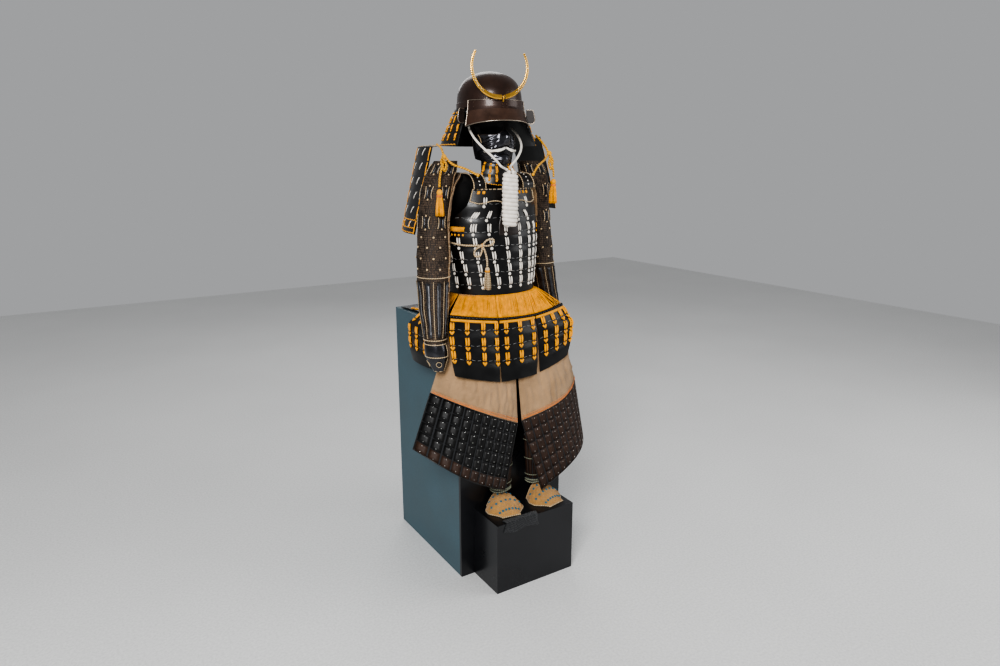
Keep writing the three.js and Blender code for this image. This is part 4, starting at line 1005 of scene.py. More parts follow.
def make_waist_cord():
    out = 2.4 + 3.6
    knot = on_front(-35, 1214, out + 1)
    runs = [
        [on_front(-86, 1222, out), on_front(-70, 1218, out), on_front(-56, 1214, out),
         on_front(-44, 1214, out), knot],
        [knot, on_front(-29, 1232, out + 3), on_front(-22, 1234, out + 3), on_front(-22, 1220, out + 2),
         on_front(-28, 1213, out), knot],
        [knot, on_front(-43, 1200, out + 2), on_front(-44, 1180, out + 3), on_front(-38, 1180, out + 3),
         on_front(-35, 1200, out), knot],
        [knot, on_front(-32, 1196, out + 2), on_front(-30, 1166, out + 3), on_front(-30, 1143, out + 4)],
    ]
    cord = Parts()
    for run in runs:
        tube(cord, spline(run, 50), 3.3, 9)
    balls(cord, [knot], 6.5, [[-0.5, -0.8, 0]], 0.8, 10)
    declare(cord.build("waist_cord_tied", TAN_CORD), "tan_silk", "waist_cord")
    bind = Parts()
    ring = [knot + 6.0 * np.array([0.3 * math.cos(a), -0.2 + 0.5 * math.cos(a),
                                   math.sin(a)]) for a in np.linspace(0, 6.3, 15)]
    tube(bind, np.array(ring), 1.6, 6)
    declare(bind.build("waist_cord_binding", YELLOW_PLAIN), "tan_silk")
    top = on_front(-30, 1140, out + 5)
    tassel = Parts()
    balls(tassel, [top + [0, 0, -7]], 8, [[0, 0, 1]], 1.1, 12)
    strands(tassel, top + [0, 0, -14], 9.5, 64, 60, 1.1, 11)
    declare(tassel.build("waist_tassel_threads", TAN_CORD), "tan_silk", "waist_tassel")
    wrap = Parts()
    for dz in (-12, -15):
        ring = [top + np.array([7.4 * math.cos(a), 7.4 * math.sin(a),
                                dz]) for a in np.linspace(0, 2 * np.pi, 17)]
        tube(wrap, np.array(ring), 1.5, 6)
    declare(wrap.build("waist_tassel_wrap", YELLOW_PLAIN), "tan_silk")


make_waist_cord()


# Skirt
SKIRT_PANELS = {
    "front": [(-20.5, [(-68, -270, 966), (-72, -281, 905), (-82, -313, 749)]),
              (30, [(82, -266, 962), (86, -282, 905), (74, -308, 752)]), (0, 0.06)],
    "front_right": [(-21.5, [(-73, -269, 966), (-78, -281, 905), (-89, -313, 750)]),
                    (-71, [(-240, -236, 990), (-268, -280, 926), (-264, -294, 796)]), (0, 0.1)],
    "front_left": [(31, [(87, -265, 962), (92, -281, 905), (86, -305, 756)]),
                   (80, [(230, -232, 980), (248, -279, 920), (240, -286, 800)]), (0, 0.24)],
    "hip_right": [(-73, [(-228, -188, 980), (-255, -180, 918), (-254, -170, 776)]),
                  (-122, [(-206, -22, 984), (-282, 6, 922), (-274, 30, 784)]), (0.25, 0.3)],
    "hip_left": [(82, [(228, -184, 978), (256, -182, 918), (250, -172, 780)]),
                 (132, [(200, -10, 976), (258, 20, 918), (254, 42, 786)]), (0.3, 0.3)],
    "back_right": [(-124, [(-168, 4, 978), (-192, 60, 938), (-214, 216, 936)]),
                   (-174.6, [(-12, 66, 974), (-10, 112, 938), (-6, 244, 936)]), (0, 0)],
    "back_left": [(134, [(166, 12, 978), (192, 66, 938), (214, 218, 936)]),
                  (185, [(-4, 67, 974), (-4, 112, 938), (0, 244, 936)]), (0, 0)],
}
SKIRT_MARKS = [0, 84, 150, 306]
SKIRT_LAMES, SKIRT_STEP, SKIRT_WALL, SKIRT_BOW = 4, 2.2, 2.4, 8
SKIRT_KNOTS = (0.235, 0.485, 0.725)
SKIRT_COLUMNS = {"front": (-0.66, 0.04, 0.78), "front_right": (-0.93, -0.38, 0.26, 0.9),
                 "front_left": (-0.66, -0.08, 0.5, 0.92)}


def skirt_line(panel, s_map):
    """A skirt panel's surface: u across, v mapped to a distance down from the cuirass's rim."""
    first, second, narrowing = panel

    def point(u, v):
        s = s_map(v)
        low = np.maximum((s - 150) / (306 - 150), 0) ** 2.5
        share = 0.5 + u / 2 * (1 - np.where(u < 0, narrowing[0], narrowing[1]) * low)
        turn = mix(first[0], second[0], share) * DEG
        rim = ellipse(BODY_Y, 163, 128, turn, 1039.4)
        rim_normal = unit(np.stack([np.sin(turn) / 163, -np.cos(turn) / 128, np.zeros_like(turn)], -1))
        out = np.stack([np.sin(turn), -np.cos(turn), np.zeros_like(turn)],
                       -1) * (SKIRT_BOW * (1 - u * u))[..., None]
        marks = [rim + rim_normal]
        for k in range(3):
            a, b = np.array(first[1][k], float), np.array(second[1][k], float)
            marks.append(a + (b - a) * share[..., None] + out)
        result = np.zeros_like(marks[0])
        for k in range(3):
            lo, hi = SKIRT_MARKS[k], SKIRT_MARKS[k + 1]
            t = np.clip((s - lo) / (hi - lo), 0, 1)
            inside = (s >= lo) & ((s < hi) | (k == 2))
            result = np.where(inside[..., None], marks[k] + (marks[k + 1] - marks[k]) * t[..., None], result)
        return result
    return point


def skirt_strands(cords, hung, name):
    """The long cords that carry a panel: close set, bunched in soft folds, spread open on one outer edge."""
    count = 62
    rng = random.Random(len(name) * 7)
    spread_from = 0.22 if name == "front_left" else 2.0
    for k in range(count):
        u = -0.99 + 1.98 * k / (count - 1)
        if u > spread_from and k % 4:
            continue
        v = np.linspace(0.0, 1.0, 9)
        fold = 2.6 * math.sin(u * 9.0 + 1) + 1.8 * math.sin(u * 23.0) + rng.uniform(-1.2, 1.2)
        sway = 0.02 * math.sin(u * 9.0) * np.sin(np.pi * v) + 0.004 * np.sin(6.0 * v + k)
        lift = 1.7 + (1.8 + fold) * np.sin(np.pi * np.clip(v, 0, 1)) ** 0.8
        tube(cords, hung.at(np.clip(u + sway, -1, 1), v, np.maximum(lift, 0.4)), 1.35, 5)


def make_skirt():
    for name, panel in SKIRT_PANELS.items():
        core = (0, BODY_Y, 800 if name.startswith("back") else 940)
        hung = Surface(skirt_line(panel, lambda v: v * 83.3), core)
        plates = Surface(skirt_line(panel, lambda v: mix(84.7, 306, v)), core)
        cords, backing = Parts(), Parts()
        skirt_strands(cords, hung, name)
        # A sheet behind the cords in the darker yellow: painted shade between the cords.
        wall_parts(backing, hung, np.linspace(-1, 0.2 if name == "front_left" else 1, 20),
                   np.linspace(0, 1, 8), 0.8)
        declare(cords.build(f"skirt_cords_{name}_threads", YELLOW_PLAIN), "yellow_silk",
                f"skirt_cords_{name}")
        declare(backing.build(f"skirt_cords_{name}_back", YELLOW_PAINTED_SHADE), "yellow_silk")
        laced_lames(f"skirt_lames_{name}", plates, SKIRT_LAMES, SKIRT_STEP, SKIRT_WALL, 49, "lacquer",
                    f"skirt_{name}")
        gold, grey, bumps = Parts(), Parts(), Parts()
        columns_at = SKIRT_COLUMNS.get(name, (-0.84, -0.28, 0.28, 0.84))
        slope = -0.03 if name == "front_left" else 0.0
        for v in SKIRT_KNOTS:
            for u in columns_at:
                lace_block(gold, plates, u, v + slope * u, 27, 4.0, 9.4, 2, 7.4, True)
            stitches(grey, plates, v - 0.048, -0.97, 0.97, 13.0, 8.0, 0.8, 1.2, 1.2)
        edge = np.linspace(-0.975, 0.975, 40)
        edge_cord(gold, plates, [(u, 0.062) for u in edge], 5.2, 2.2, 120, 8)
        along = np.linspace(-0.96, 0.96, 15)
        balls(bumps, plates.at(along, np.full(15, 0.014), 2.6), 5.4,
              plates.normal(along, np.full(15, 0.014)), 0.5)
        declare(gold.build(f"skirt_lacing_{name}", YELLOW_PLAIN), "yellow_silk")
        declare(grey.build(f"skirt_stitches_{name}", GREY_STITCH), "white_silk")
        declare(bumps.build(f"skirt_edge_knots_{name}", LACQUER), "lacquer")


make_skirt()


# Armoured sleeves. Rows: height, centre x, centre y, half width, half depth.
# The right sleeve's x is mirrored.
SLEEVE_ROWS = {
    "right": [(1494, 172, -98, 38, 44), (1440, 200, -102, 50, 54), (1370, 220, -108, 52, 55),
              (1290, 234, -116, 51, 54),
              (1190, 242, -128, 57, 58), (1100, 254, -146, 55, 56), (1010, 271, -179, 48, 49),
              (945, 287, -214, 41, 42),
              (908, 297, -236, 35, 36)],
    "left": [(1494, 172, -98, 38, 44), (1440, 198, -92, 50, 54), (1370, 214, -80, 51, 54),
             (1290, 228, -66, 50, 53),
             (1190, 244, -58, 55, 57), (1100, 260, -52, 54, 55), (1010, 284, -48, 48, 49),
             (945, 308, -46, 41, 42),
             (905, 322, -46, 35, 36)],
}
# columns of splints: height of the middle, length; how many side by side and their spacing are fixed in
# make_sleeve
SHORT_SPLINTS = [(1466, 32), (1391, 38), (1294, 38)]


def sheet(surface):
    """Samples a cloth's surface on a grid of sixty by sixty points; nothing is done with them. Declares a
    cloth. Its length is measured on the surface. Its area is read from the finished mesh, and its width is
    widened to suit that area, so neither is a cut settled beforehand.
    """
    t = np.linspace(0, 1, 60)
    v, u = np.meshgrid(t, t, indexing="ij")
    p = surface.point(u, v)


def crumple(u, v, seed, fine=1.0):
    """Soft uneven folds, from nought to about one."""
    a = np.sin(7 * u * fine + 5 * v + seed) * np.sin(9 * v * fine - 4 * u + 2 * seed)
    b = np.sin(17 * u * fine - 11 * v * fine + 3 * seed)
    c = np.sin(23 * v * fine + 9 * u + 1.7 * seed)
    return 0.5 + 0.28 * a + 0.14 * b + 0.1 * c


def sleeve_surface(side, name):
    rows = SLEEVE_ROWS[name]
    top, low = rows[0][0], rows[-1][0]

    def point(u, v):
        z = mix(top, low, v)
        x, y, half_width, half_depth = columns(rows, z)
        turn = u * 2 * np.pi
        slack = 1.6 * np.sin(v * 46 + 2 * np.cos(turn)) * np.cos(turn - 0.6)
        slack = slack + 0.7 * np.sin(v * 83 + 3 * np.sin(turn)) * smooth_step((v - 0.45) * 4)
        return np.stack([side * x + (half_width + slack) * np.cos(turn),
                         y + (half_depth + slack) * np.sin(turn), z], -1)

    surface = Surface(point)
    sample = surface.normal(np.array([0.0]), np.array([0.5]))[0]
    surface.sign = 1 if sample[0] > 0 else -1
    return surface


def plate(parts, surface, u, v, wide, tall, thick, lift, cols=3, rows=4, crown=1.0):
    """A small curved plate that lies on a surface, its middle a little proud."""
    du, dv = u_per_mm(surface, u, v) * wide / 2, v_per_mm(surface, u, v) * tall / 2
    small = Surface(lambda a, b: surface.at(u + a * du, np.clip(v + b * dv, 0, 1),
                                            lift + crown * (1 - a * a)), None)
    n = surface.normal(np.array([u]), np.array([v]))[0]
    m = small.normal(np.array([0.0]), np.array([0.0]))[0]
    small.sign = 1 if np.dot(n, m) > 0 else -1
    small.high = lambda a: a + 1
    grid_plate(parts, small, np.linspace(-1, 1, cols), np.linspace(-1, 1, rows), thick)


def grid_plate(parts, surface, us, vs, thick):
    v, u = np.meshgrid(vs, us, indexing="ij")
    point = surface.point(u, v)
    across, down = np.gradient(point, axis=1), np.gradient(point, axis=0)
    normal = unit(np.cross(across, down)) * surface.sign
    both = np.concatenate([point.reshape(-1, 3), (point - normal * thick).reshape(-1, 3)])
    rows, cols = u.shape
    at = np.arange(2 * rows * cols).reshape(2, rows, cols)
    quads = []
    for side in (0, 1):
        g = at[side]
        q = np.stack([g[:-1, :-1], g[:-1, 1:], g[1:, 1:], g[1:, :-1]], -1).reshape(-1, 4)
        quads.append(q if side == 0 else q[:, ::-1])
    for a, b in ((at[0, 0], at[1, 0]), (at[1, -1], at[0, -1]), (at[1, :, 0], at[0, :, 0]),
                 (at[0, :, -1], at[1, :, -1])):
        quads.append(np.stack([a[:-1], b[:-1], b[1:], a[1:]], -1))
    faces = np.concatenate(quads)
    a, b, c = both[faces[0, 0]], both[faces[0, 1]], both[faces[0, 2]]
    if np.dot(np.cross(b - a, c - a), normal[0, 0]) < 0:
        faces = faces[:, ::-1]
    parts.add(both, faces.tolist())


def v_at(rows, z):
    return (rows[0][0] - z) / (rows[0][0] - rows[-1][0])


def make_sleeve(side, name):
    rows = SLEEVE_ROWS[name]
    surface = sleeve_surface(side, name)
    obj = wall(f"sleeve_mail_{name}", surface, np.linspace(0, 1, 73)[:-1], np.linspace(0, 1, 110), 2.0,
               MAIL, closed=True, sharp=80)
    declare(obj, "mail_on_cloth", f"sleeve_{name}")
    camera_turn = -117 / 360 if side < 0 else -108 / 360
    splints, cords, knots = Parts(), Parts(), Parts()
    for z, tall in SHORT_SPLINTS:
        v = v_at(rows, z)
        for k in range(6):
            u = camera_turn + (k + 0.5) / 6
            per = u_per_mm(surface, u, v)
            for off in (-7.5, 7.5):
                plate(splints, surface, u + off * per, v, 11, tall, 1.6, 2.2)
            upright_cords(cords, surface, u, v - tall * 0.55 * v_per_mm(surface, u, v),
                          v + tall * 0.55 * v_per_mm(surface, u, v),
                          4.6, 27, 1.7)
            for end in (-1, 1):
                e = v + end * tall * 0.6 * v_per_mm(surface, u, v)
                knot(knots, surface, u, e, 2.0, 3.6, 0.5)
    lo, hi = v_at(rows, 1100), v_at(rows, 922)
    for k in range(9):
        u = camera_turn + (k + 0.5) / 9
        middle = (lo + hi) / 2
        plate(splints, surface, u, middle, 13.5, (hi - lo) / v_per_mm(surface, u, middle) * 0.96, 1.8, 2.4,
              5, 14, 1.4)
        upright_cords(cords, surface, u + 0.5 / 9, lo, hi, 2.6, 4, 1.5, 1)
    for z in (1246, 1212, 1176, 1140):
        for k in range(8):
            u, v = camera_turn + k / 8 + 0.5 / 8 * (z in (1212, 1140)), v_at(rows, z)
            knot(knots, surface, u, v, 2.0, 4.0, 0.5)
    for z in (1112, 916):
        v = v_at(rows, z)
        edge_cord(cords, surface, [(u, v) for u in np.linspace(0, 1, 60)], 2.2, 1.4, 120)
    declare(splints.build(f"sleeve_splints_{name}", SPLINT), "mail_on_cloth")
    declare(cords.build(f"sleeve_cords_{name}", TAN_CORD), "tan_silk")
    declare(knots.build(f"sleeve_knots_{name}", TAN_CORD), "tan_silk")
    seam = Parts()
    inner = camera_turn + (0.21 if side < 0 else -0.21)
    strip = Surface(lambda u, v: surface.at(inner + u * 0.035, mix(0.06, 0.97, v),
                                            1.0 + 1.6 * crumple(u * 2, v * 6, 3.0)), None)
    strip.sign = surface.sign
    grid_plate(seam, strip, np.linspace(-1, 1, 7), np.linspace(0, 1, 70), 0.5)
    declare(seam.build(f"sleeve_lining_{name}", TAN), "tan_cloth")
    lace = Parts()
    for k in range(22):
        v = mix(0.08, 0.95, k / 21)
        u = np.array([inner - 0.04, inner + 0.04])
        vs = np.array([v, v + (0.012 if k % 2 else -0.012)])
        tube(lace, surface.at(u, vs, 3.4), 1.3, 5)
    declare(lace.build(f"sleeve_lace_{name}", TAN_CORD), "tan_silk")
    make_hand_guard(side, name, rows)


def make_hand_guard(side, name, rows):
    low, x, y, half_width, half_depth = rows[-1]

    def point(u, v):
        turn = mix(-1.1, 1.1, u) * np.pi / 2 + (np.pi if side < 0 else 0) - side * 0.5
        out = mix(1.02, 1.16, np.sin(np.pi * np.minimum(v * 1.3, 1))) - 0.5 * v ** 3
        return np.stack([side * x + half_width * out * np.cos(turn) - side * 6 * v,
                         y + half_depth * out * np.sin(turn) - 10 * v, low - 0.7 - 98 * v], -1)

    surface = Surface(point, (side * x, y, low - 50))

    def relief(u, v):
        fingers = np.abs(np.sin(u * 4 * np.pi)) * smooth_step((v - 0.55) / 0.08)
        knuckle = 2.2 * bell(v, 0.52, 0.05)
        return 1.6 * fingers + knuckle * (0.6 + 0.4 * np.abs(np.sin(u * 4 * np.pi)))

    obj = wall(f"hand_plate_{name}", surface, np.linspace(0, 1, 57), np.linspace(0, 1, 44), 2.0, IRON,
               relief, sharp=60)
    declare(obj, "dark_iron", f"hand_guard_{name}")
    trim = Parts()
    edge_cord(trim, surface, [(0, 0.02), (0, 1), (1, 1), (1, 0.02)], 1.7, 0, 110)
    for v in (0.04, 0.47):
        edge_cord(trim, surface, [(0, v), (1, v)], 1.9, 1.2, 40)
    for u in (0.3, 0.7):
        loop = [surface.at([u + 0.08 * math.cos(a)], [0.72 + 0.1 * math.sin(a)],
                           3.2)[0] for a in np.linspace(0, 2 * np.pi, 17)]
        tube(trim, np.array(loop), 1.3, 5)
    declare(trim.build(f"hand_trim_{name}", TAN_CORD), "tan_silk")


def make_gusset(side, name):
    rows = SLEEVE_ROWS[name]

    def point(u, v):
        z = mix(1452, 1296, v)
        x, y, half_width, half_depth = columns(rows, z)
        facing = 0 if side < 0 else math.pi
        turn = facing + mix(-1, 1, u) * (0.55 + 0.5 * smooth_step(np.minimum(v * 2, 1)))
        to_strap = (x - half_width - 99 - 24 - 0.6) * np.maximum(np.cos(turn - facing), 0)
        reach = mix(to_strap, 4, smooth_step(np.minimum(v * 4, 1)))
        folds = 2.6 * np.maximum(np.sin(v * 4), 0) * (1 + np.sin(9 * u + 4 * v))
        out = reach + folds * np.minimum(v * 5, 1)
        return np.stack([side * x + (half_width + out) * np.cos(turn),
                         y + (half_depth + out) * np.sin(turn), z], -1)

    surface = Surface(point, None)
    sample = surface.normal(np.array([0.5]), np.array([0.6]))[0]
    surface.sign = 1 if sample[0] * -side > 0 else -1

    def relief(u, v):
        edge = np.minimum(1, 6 * np.minimum(np.minimum(u, 1 - u), np.minimum(v, 1 - v)) + 0.1)
        return 2.6 * crumple(u * 3, v * 4, 2.0 + side) * edge

    obj = wall(f"gusset_cloth_{name}", surface, np.linspace(0, 1, 50), np.linspace(0, 1, 60), 1.6, TAN,
               relief)
    declare(obj, "tan_cloth", f"gusset_{name}")
    sheet(surface)


for sleeve_side, sleeve_name in ((-1, "right"), (1, "left")):
    make_sleeve(sleeve_side, sleeve_name)
    make_gusset(sleeve_side, sleeve_name)


# Shoulder guards. Each row: height, x and y of the front edge, x and y of the back edge.
GUARD_ROWS = {
    "right": [(1546, 170, -47, 148, 112), (1542, 198, -50, 170, 116), (1440, 226, -52, 195, 118),
              (1246, 275, -52, 242, 120)],
    "left": [(1566, 170, -92, 166, 72), (1580, 221, -95, 211, 76), (1450, 262, -96, 250, 78),
             (1318, 297, -97, 285, 80)],
}
PLATE_SHARE = 0.14


def guard_surface(side, name, low=0.0, high=1.0):
    rows = GUARD_ROWS[name]

    def point(u, v):
        v = mix(low, high, v)
        top = [mix(rows[0][i], rows[1][i], np.clip(v / PLATE_SHARE, 0, 1)) for i in range(5)]
        z = mix(rows[1][0], rows[3][0], (v - PLATE_SHARE) / (1 - PLATE_SHARE))
        lower = [z] + columns(rows[1:], z)
        height, fx, fy, bx, by = [np.where(v < PLATE_SHARE, a, b) for a, b in zip(top, lower)]
        return np.stack([side * (mix(fx, bx, u) + 12 * np.sin(np.pi * u)), mix(fy, by, u), height], -1)

    return Surface(point, (0, 20, 1380))


def make_shoulder_guard(side, name):
    lames = guard_surface(side, name, PLATE_SHARE, 1.0)
    laced_lames(f"guard_lames_{name}", lames, 6, 2.4, 2.4, 57, "lacquer", f"shoulder_guard_{name}",
                u_range=(0, 1))
    top = guard_surface(side, name, 0.0, PLATE_SHARE * 0.96)
    plate_obj = wall(f"guard_plate_{name}", top, np.linspace(0, 1, 40), np.linspace(0, 1, 10), 2.4,
                     PLATE_BLACK, sharp=60)
    declare(plate_obj, "lacquer")
    white, gold = Parts(), Parts()
    for k in range(6):
        for u in (0.3, 0.72):
            upright_cords(white, lames, u, (k + 0.1) / 6, (k + 0.6) / 6, 3.2, 6.0, 1.1, 2, lean=16)
        for u in (0.03, 0.97):
            upright_cords(gold, lames, u, (k + 0.06) / 6, (k + 0.98) / 6, 3.4, 3.6, 1.9)
    for v in (0.84, 0.93, 0.985):
        stitches(gold, lames, v, 0.05, 0.95, 7.0, 1.6, 1.9, 2.0, 1.4)
    for u in (0.3, 0.7):
        for bend in (-1, 1):
            upright_cords(gold, lames, u, 0.86, 0.92, 3.2, 5, 2.1, 1, lean=bend * 9)
    declare(white.build(f"guard_lacing_{name}", WHITE_PLAIN), "white_silk")
    declare(gold.build(f"guard_edge_cords_{name}", YELLOW_PLAIN), "yellow_silk")
    trim = Parts()
    edge_cord(trim, top, [(0, 1), (0, 0), (1, 0), (1, 1)], 1.9, 0.3, 90)
    declare(trim.build(f"guard_piping_{name}", TAN_CORD), "tan_silk")


GUARD_CORDS = {
    "right": {
        "run": [(-190, -70, 1549), (-196, -112, 1536), (-205, -150, 1512), (-188, -176, 1484),
                (-150, -198, 1468), (-112, -211, 1448)],
        "knot": [(-209, -155, 1508), (-222, -164, 1490), (-214, -168, 1462), (-205, -166, 1480),
                 (-216, -168, 1500)],
        "drop": [(-207, -158, 1500), (-226, -169, 1470), (-235, -173, 1440), (-238, -174, 1410)],
        "tassel": (-238, -175, 1405)},
    "left": {
        "run": [(198, -102, 1584), (212, -128, 1556), (222, -146, 1524), (196, -166, 1500),
                (150, -190, 1478), (112, -211, 1448)],
        "knot": [(226, -150, 1520), (240, -152, 1494), (232, -154, 1464), (222, -154, 1484),
                 (230, -154, 1508)],
        "drop": [(224, -152, 1510), (236, -158, 1470), (240, -158, 1446), (240, -158, 1436)],
        "tassel": (240, -158, 1431)},
}


def make_guard_cord(name):
    data = GUARD_CORDS[name]
    parts = Parts()
    tube(parts, spline(data["run"], 70), 3.7, 9)
    tube(parts, spline(data["knot"], 50), 3.5, 9)
    tube(parts, spline([p + np.array([-4, -3, 2]) for p in np.array(data["knot"], float)], 50), 3.2, 9)
    tube(parts, spline(data["drop"], 40), 3.5, 9)
    balls(parts, [data["knot"][0]], 9, [[0, -1, 0]], 0.8, 12)
    balls(parts, [data["run"][-1]], 6, [[0, -1, 0]], 0.8, 10)
    declare(parts.build(f"guard_cord_tied_{name}", YELLOW), "yellow_silk", f"guard_cord_{name}")
    top = np.array(data["tassel"], float)
    tassel = Parts()
    balls(tassel, [top + [0, 0, -13]], 10, [[0, 0, 1]], 1.3, 14)
    strands(tassel, top + [0, 0, -22], 11, 68, 60, 1.25, 21)
    declare(tassel.build(f"guard_tassel_threads_{name}", YELLOW_PLAIN), "yellow_silk", f"guard_tassel_{name}")
    wrap = Parts()
    for dz in (-22, -25.5):
        ring = [top + np.array([9 * math.cos(a), 9 * math.sin(a), dz]) for a in np.linspace(0, 2 * np.pi, 19)]
        tube(wrap, np.array(ring), 1.6, 6)
    declare(wrap.build(f"guard_tassel_wrap_{name}", ORANGE), "yellow_silk")


# Thigh guards: corners of the field of small plates: top inner, top outer, lower inner, lower outer
THIGH = {
    "right": [(-18, -318, 584), (-303, -200, 717), (-92, -350, 359), (-385, -222, 535)],
    "left": [(-1, -318, 590), (318, -212, 668), (69, -350, 316), (348, -238, 436)],
}


def thigh_point(corners, u, v):
    a, b, c, d = np.array(corners, float)
    turned = np.maximum(u, 0) ** 3.2

    def along(i):
        w = turned if i == 1 else u
        return mix(mix(a[i], b[i], w), mix(c[i], d[i], w), v)

    sag = (14 if c[0] < 0 else -22) * np.sin(np.pi * u) * v
    return np.stack([along(0), along(1) - 16 * np.sin(np.pi * u), along(2) - sag], -1)


def round_seat(side, share, z):
    edge, front = 220 + 7, 255 + 7
    run = share * edge / 0.8
    return np.stack([side * np.maximum(np.minimum(run, edge), 0.8), np.maximum(run - edge, 0) - front,
                     np.broadcast_to(z, run.shape)], -1)


def apron_surface(side, corners):
    def ring(u, out, z, t0, t1):
        turn = side * mix(t0, t1, u) * DEG
        normal = unit(np.stack([np.sin(turn) / 163, -np.cos(turn) / 128, np.zeros_like(turn)], -1))
        return ellipse(BODY_Y, 163, 128, turn, z) + normal * out

    def point(u, v):
        shoulder = ring(u, 6, 962, 0.3, 74)
        bent = round_seat(side, u, 962)
        curves = [ring(u, -4.8, 1048, 0.3, 75), ring(u, -3, 1018, 0.3, 75),
                  shoulder + (bent - shoulder) * 0.4,
                  round_seat(side, u, 936), thigh_point(corners, u, np.zeros_like(u)) + np.array([0, 0, 0.8])]
        key = v * 4
        folds = 4 * np.sin(np.pi * np.maximum(v - 0.8, 0) * 5) * np.sin(u * 23 + 3 * v)
        result = np.zeros_like(curves[0])
        for k in range(4):
            t = np.clip(key - k, 0, 1)
            t = t ** 1.5 if k == 3 else t
            inside = (key >= k) & ((key < k + 1) | (k == 3))
            result = np.where(inside[..., None], curves[k] + (curves[k + 1] - curves[k]) * t[..., None],
                              result)
        result[..., 1] -= np.abs(folds)
        return result
    return Surface(point, (side * 120, 200, 600))


def make_thigh_guard(side, name):
    corners = THIGH[name]
    core = (side * 120, 200, 600)
    field = Surface(lambda u, v: thigh_point(corners, u, v), core)
    coat, rows, cols = (PLATE_BLACK, 6, 10) if side < 0 else (BROWN, 6, 10)
    plates, brown, dots, cloth = Parts(), Parts(), Parts(), Parts()
    for i in range(cols):
        for k in range(rows):
            u, v = (i + 0.5) / cols, (k + 0.5) / rows
            tall = 1 / v_per_mm(field, u, v) / rows
            into = brown if k == rows - 1 and side < 0 else plates
            plate(into, field, u, v, (1 / u_per_mm(field, u, v)) / cols * 0.86, tall * 0.93, 1.0, 0.2, 4, 4,
                  1.4)
            for dv in (-0.3, 0.3):
                e = (k + 0.5 + dv) / rows
                knot(dots, field, u, e, 1.6, 1.7, 0.5)
    wall_parts(cloth, field, np.linspace(0, 1, 60), np.linspace(0, 1, 50), 2.0, lambda u,
               v: np.full_like(u, -0.9))
    declare(plates.build(f"thigh_small_plates_{name}", coat), "lacquer" if side < 0 else "brown_splints",
            f"thigh_plates_{name}")
    if side < 0:
        declare(brown.build(f"thigh_lowest_plates_{name}", BROWN), "brown_splints")
    declare(dots.build(f"thigh_dots_{name}", SILVER), "lacquer")
    backing = declare(cloth.build(f"thigh_backing_{name}", DYED), "tan_cloth")
    surface = apron_surface(side, corners)

    def relief(u, v):
        edge = np.minimum(1, np.minimum(8 * np.minimum(u, 1 - u) + 0.08, 40 * (1 - v) + 0.1))
        low = np.maximum(v - 0.9, 0) * 10
        return 10 * crumple(u * 6 + low, low * 3.2 + u,
                            1.0 + side) * smooth_step((v - 0.93) / 0.025) * edge + 0.3

    obj = wall(f"thigh_apron_{name}", surface, np.linspace(0, 1, 110), np.linspace(0, 1, 130), 1.9, TAN,
               relief)
    declare(obj, "tan_cloth", f"thigh_cloth_{name}")
    hem = Parts()
    low = Surface(lambda u, v: surface.at(u, mix(0.9905, 0.999, v), 1.2 + relief(u, mix(0.9905, 0.999, v))),
                  core)
    wall_parts(hem, low, np.linspace(0.004, 0.996, 90), np.linspace(0, 1, 5), 0.5)
    hem_obj = declare(hem.build(f"thigh_hem_{name}", TAN), "tan_cloth")
    zigzag = Parts()
    steps = np.linspace(0.01, 0.99, 76)
    heights = np.where(np.arange(76) % 2 == 0, 0.12, 0.5)
    tube(zigzag, low.at(steps, heights, 0.9), 0.8, 5)
    for v in (0.72, 0.86):
        tube(zigzag, low.at(np.linspace(0.01, 0.99, 80), np.full(80, v), 0.7), 0.8, 5)
    declare(zigzag.build(f"thigh_zigzag_{name}", ORANGE), "yellow_silk")
    border = Parts()
    edge_cord(border, field, [(0, 0.0), (0, 1), (1, 1), (1, 0)], 2.2, -0.4, 220)
    declare(border.build(f"thigh_border_{name}", DARK_LEATHER), "tan_silk")
    sheet(surface)
    sheet(field)


# Shins and feet
FEET = {"right": (-8, -70, -318), "left": (12, 84, -330)}
SHIN = {"low": 327, "top": 520, "half": 44, "depth": 34, "y": -284}


def make_shin_guard(name):
    _, x, _ = FEET[name]

    def point(u, v):
        turn = mix(-100, 100, u) * DEG
        p = ellipse(SHIN["y"], mix(SHIN["half"], SHIN["half"] - 9, v),
                    mix(SHIN["depth"], SHIN["depth"] - 5, v), turn,
                    mix(SHIN["top"], SHIN["low"], v))
        p[..., 0] += x * mix(0.95, 1, v)
        return p

    surface = Surface(point, (x, SHIN["y"], 420))
    base = wall(f"shin_cloth_{name}", surface, np.linspace(0, 1, 60), np.linspace(0, 1, 30), 1.8, DYED,
                lambda u, v: 0.2 + 0.9 * crumple(u * 2, v * 5, 4.0))
    declare(base, "brown_splints", f"shin_guard_{name}")
    bars, ties = Parts(), Parts()
    for k in range(7):
        u = (k + 0.5) / 7
        plate(bars, surface, u, 0.46, 14.5, 168, 1.6, 1.4, 5, 12, 1.6)
    for v in (0.1, 0.48, 0.82):
        edge_cord(ties, surface, [(u, v) for u in np.linspace(0.0, 1.0, 30)], 1.9, 4.4, 80)
    edge_cord(ties, surface, [(u, 0.93) for u in np.linspace(0.0, 1.0, 30)], 3.2, 3.4, 80)
    edge_cord(ties, surface, [(u, 0.965 + 0.015 * math.sin(7 * u)) for u in np.linspace(0.0, 1.0, 30)], 3.0,
              4.6, 80)
    declare(bars.build(f"shin_bars_{name}", BROWN), "brown_splints")
    declare(ties.build(f"shin_ties_{name}", GREEN_CORD), "tan_silk")
    sheet(surface)


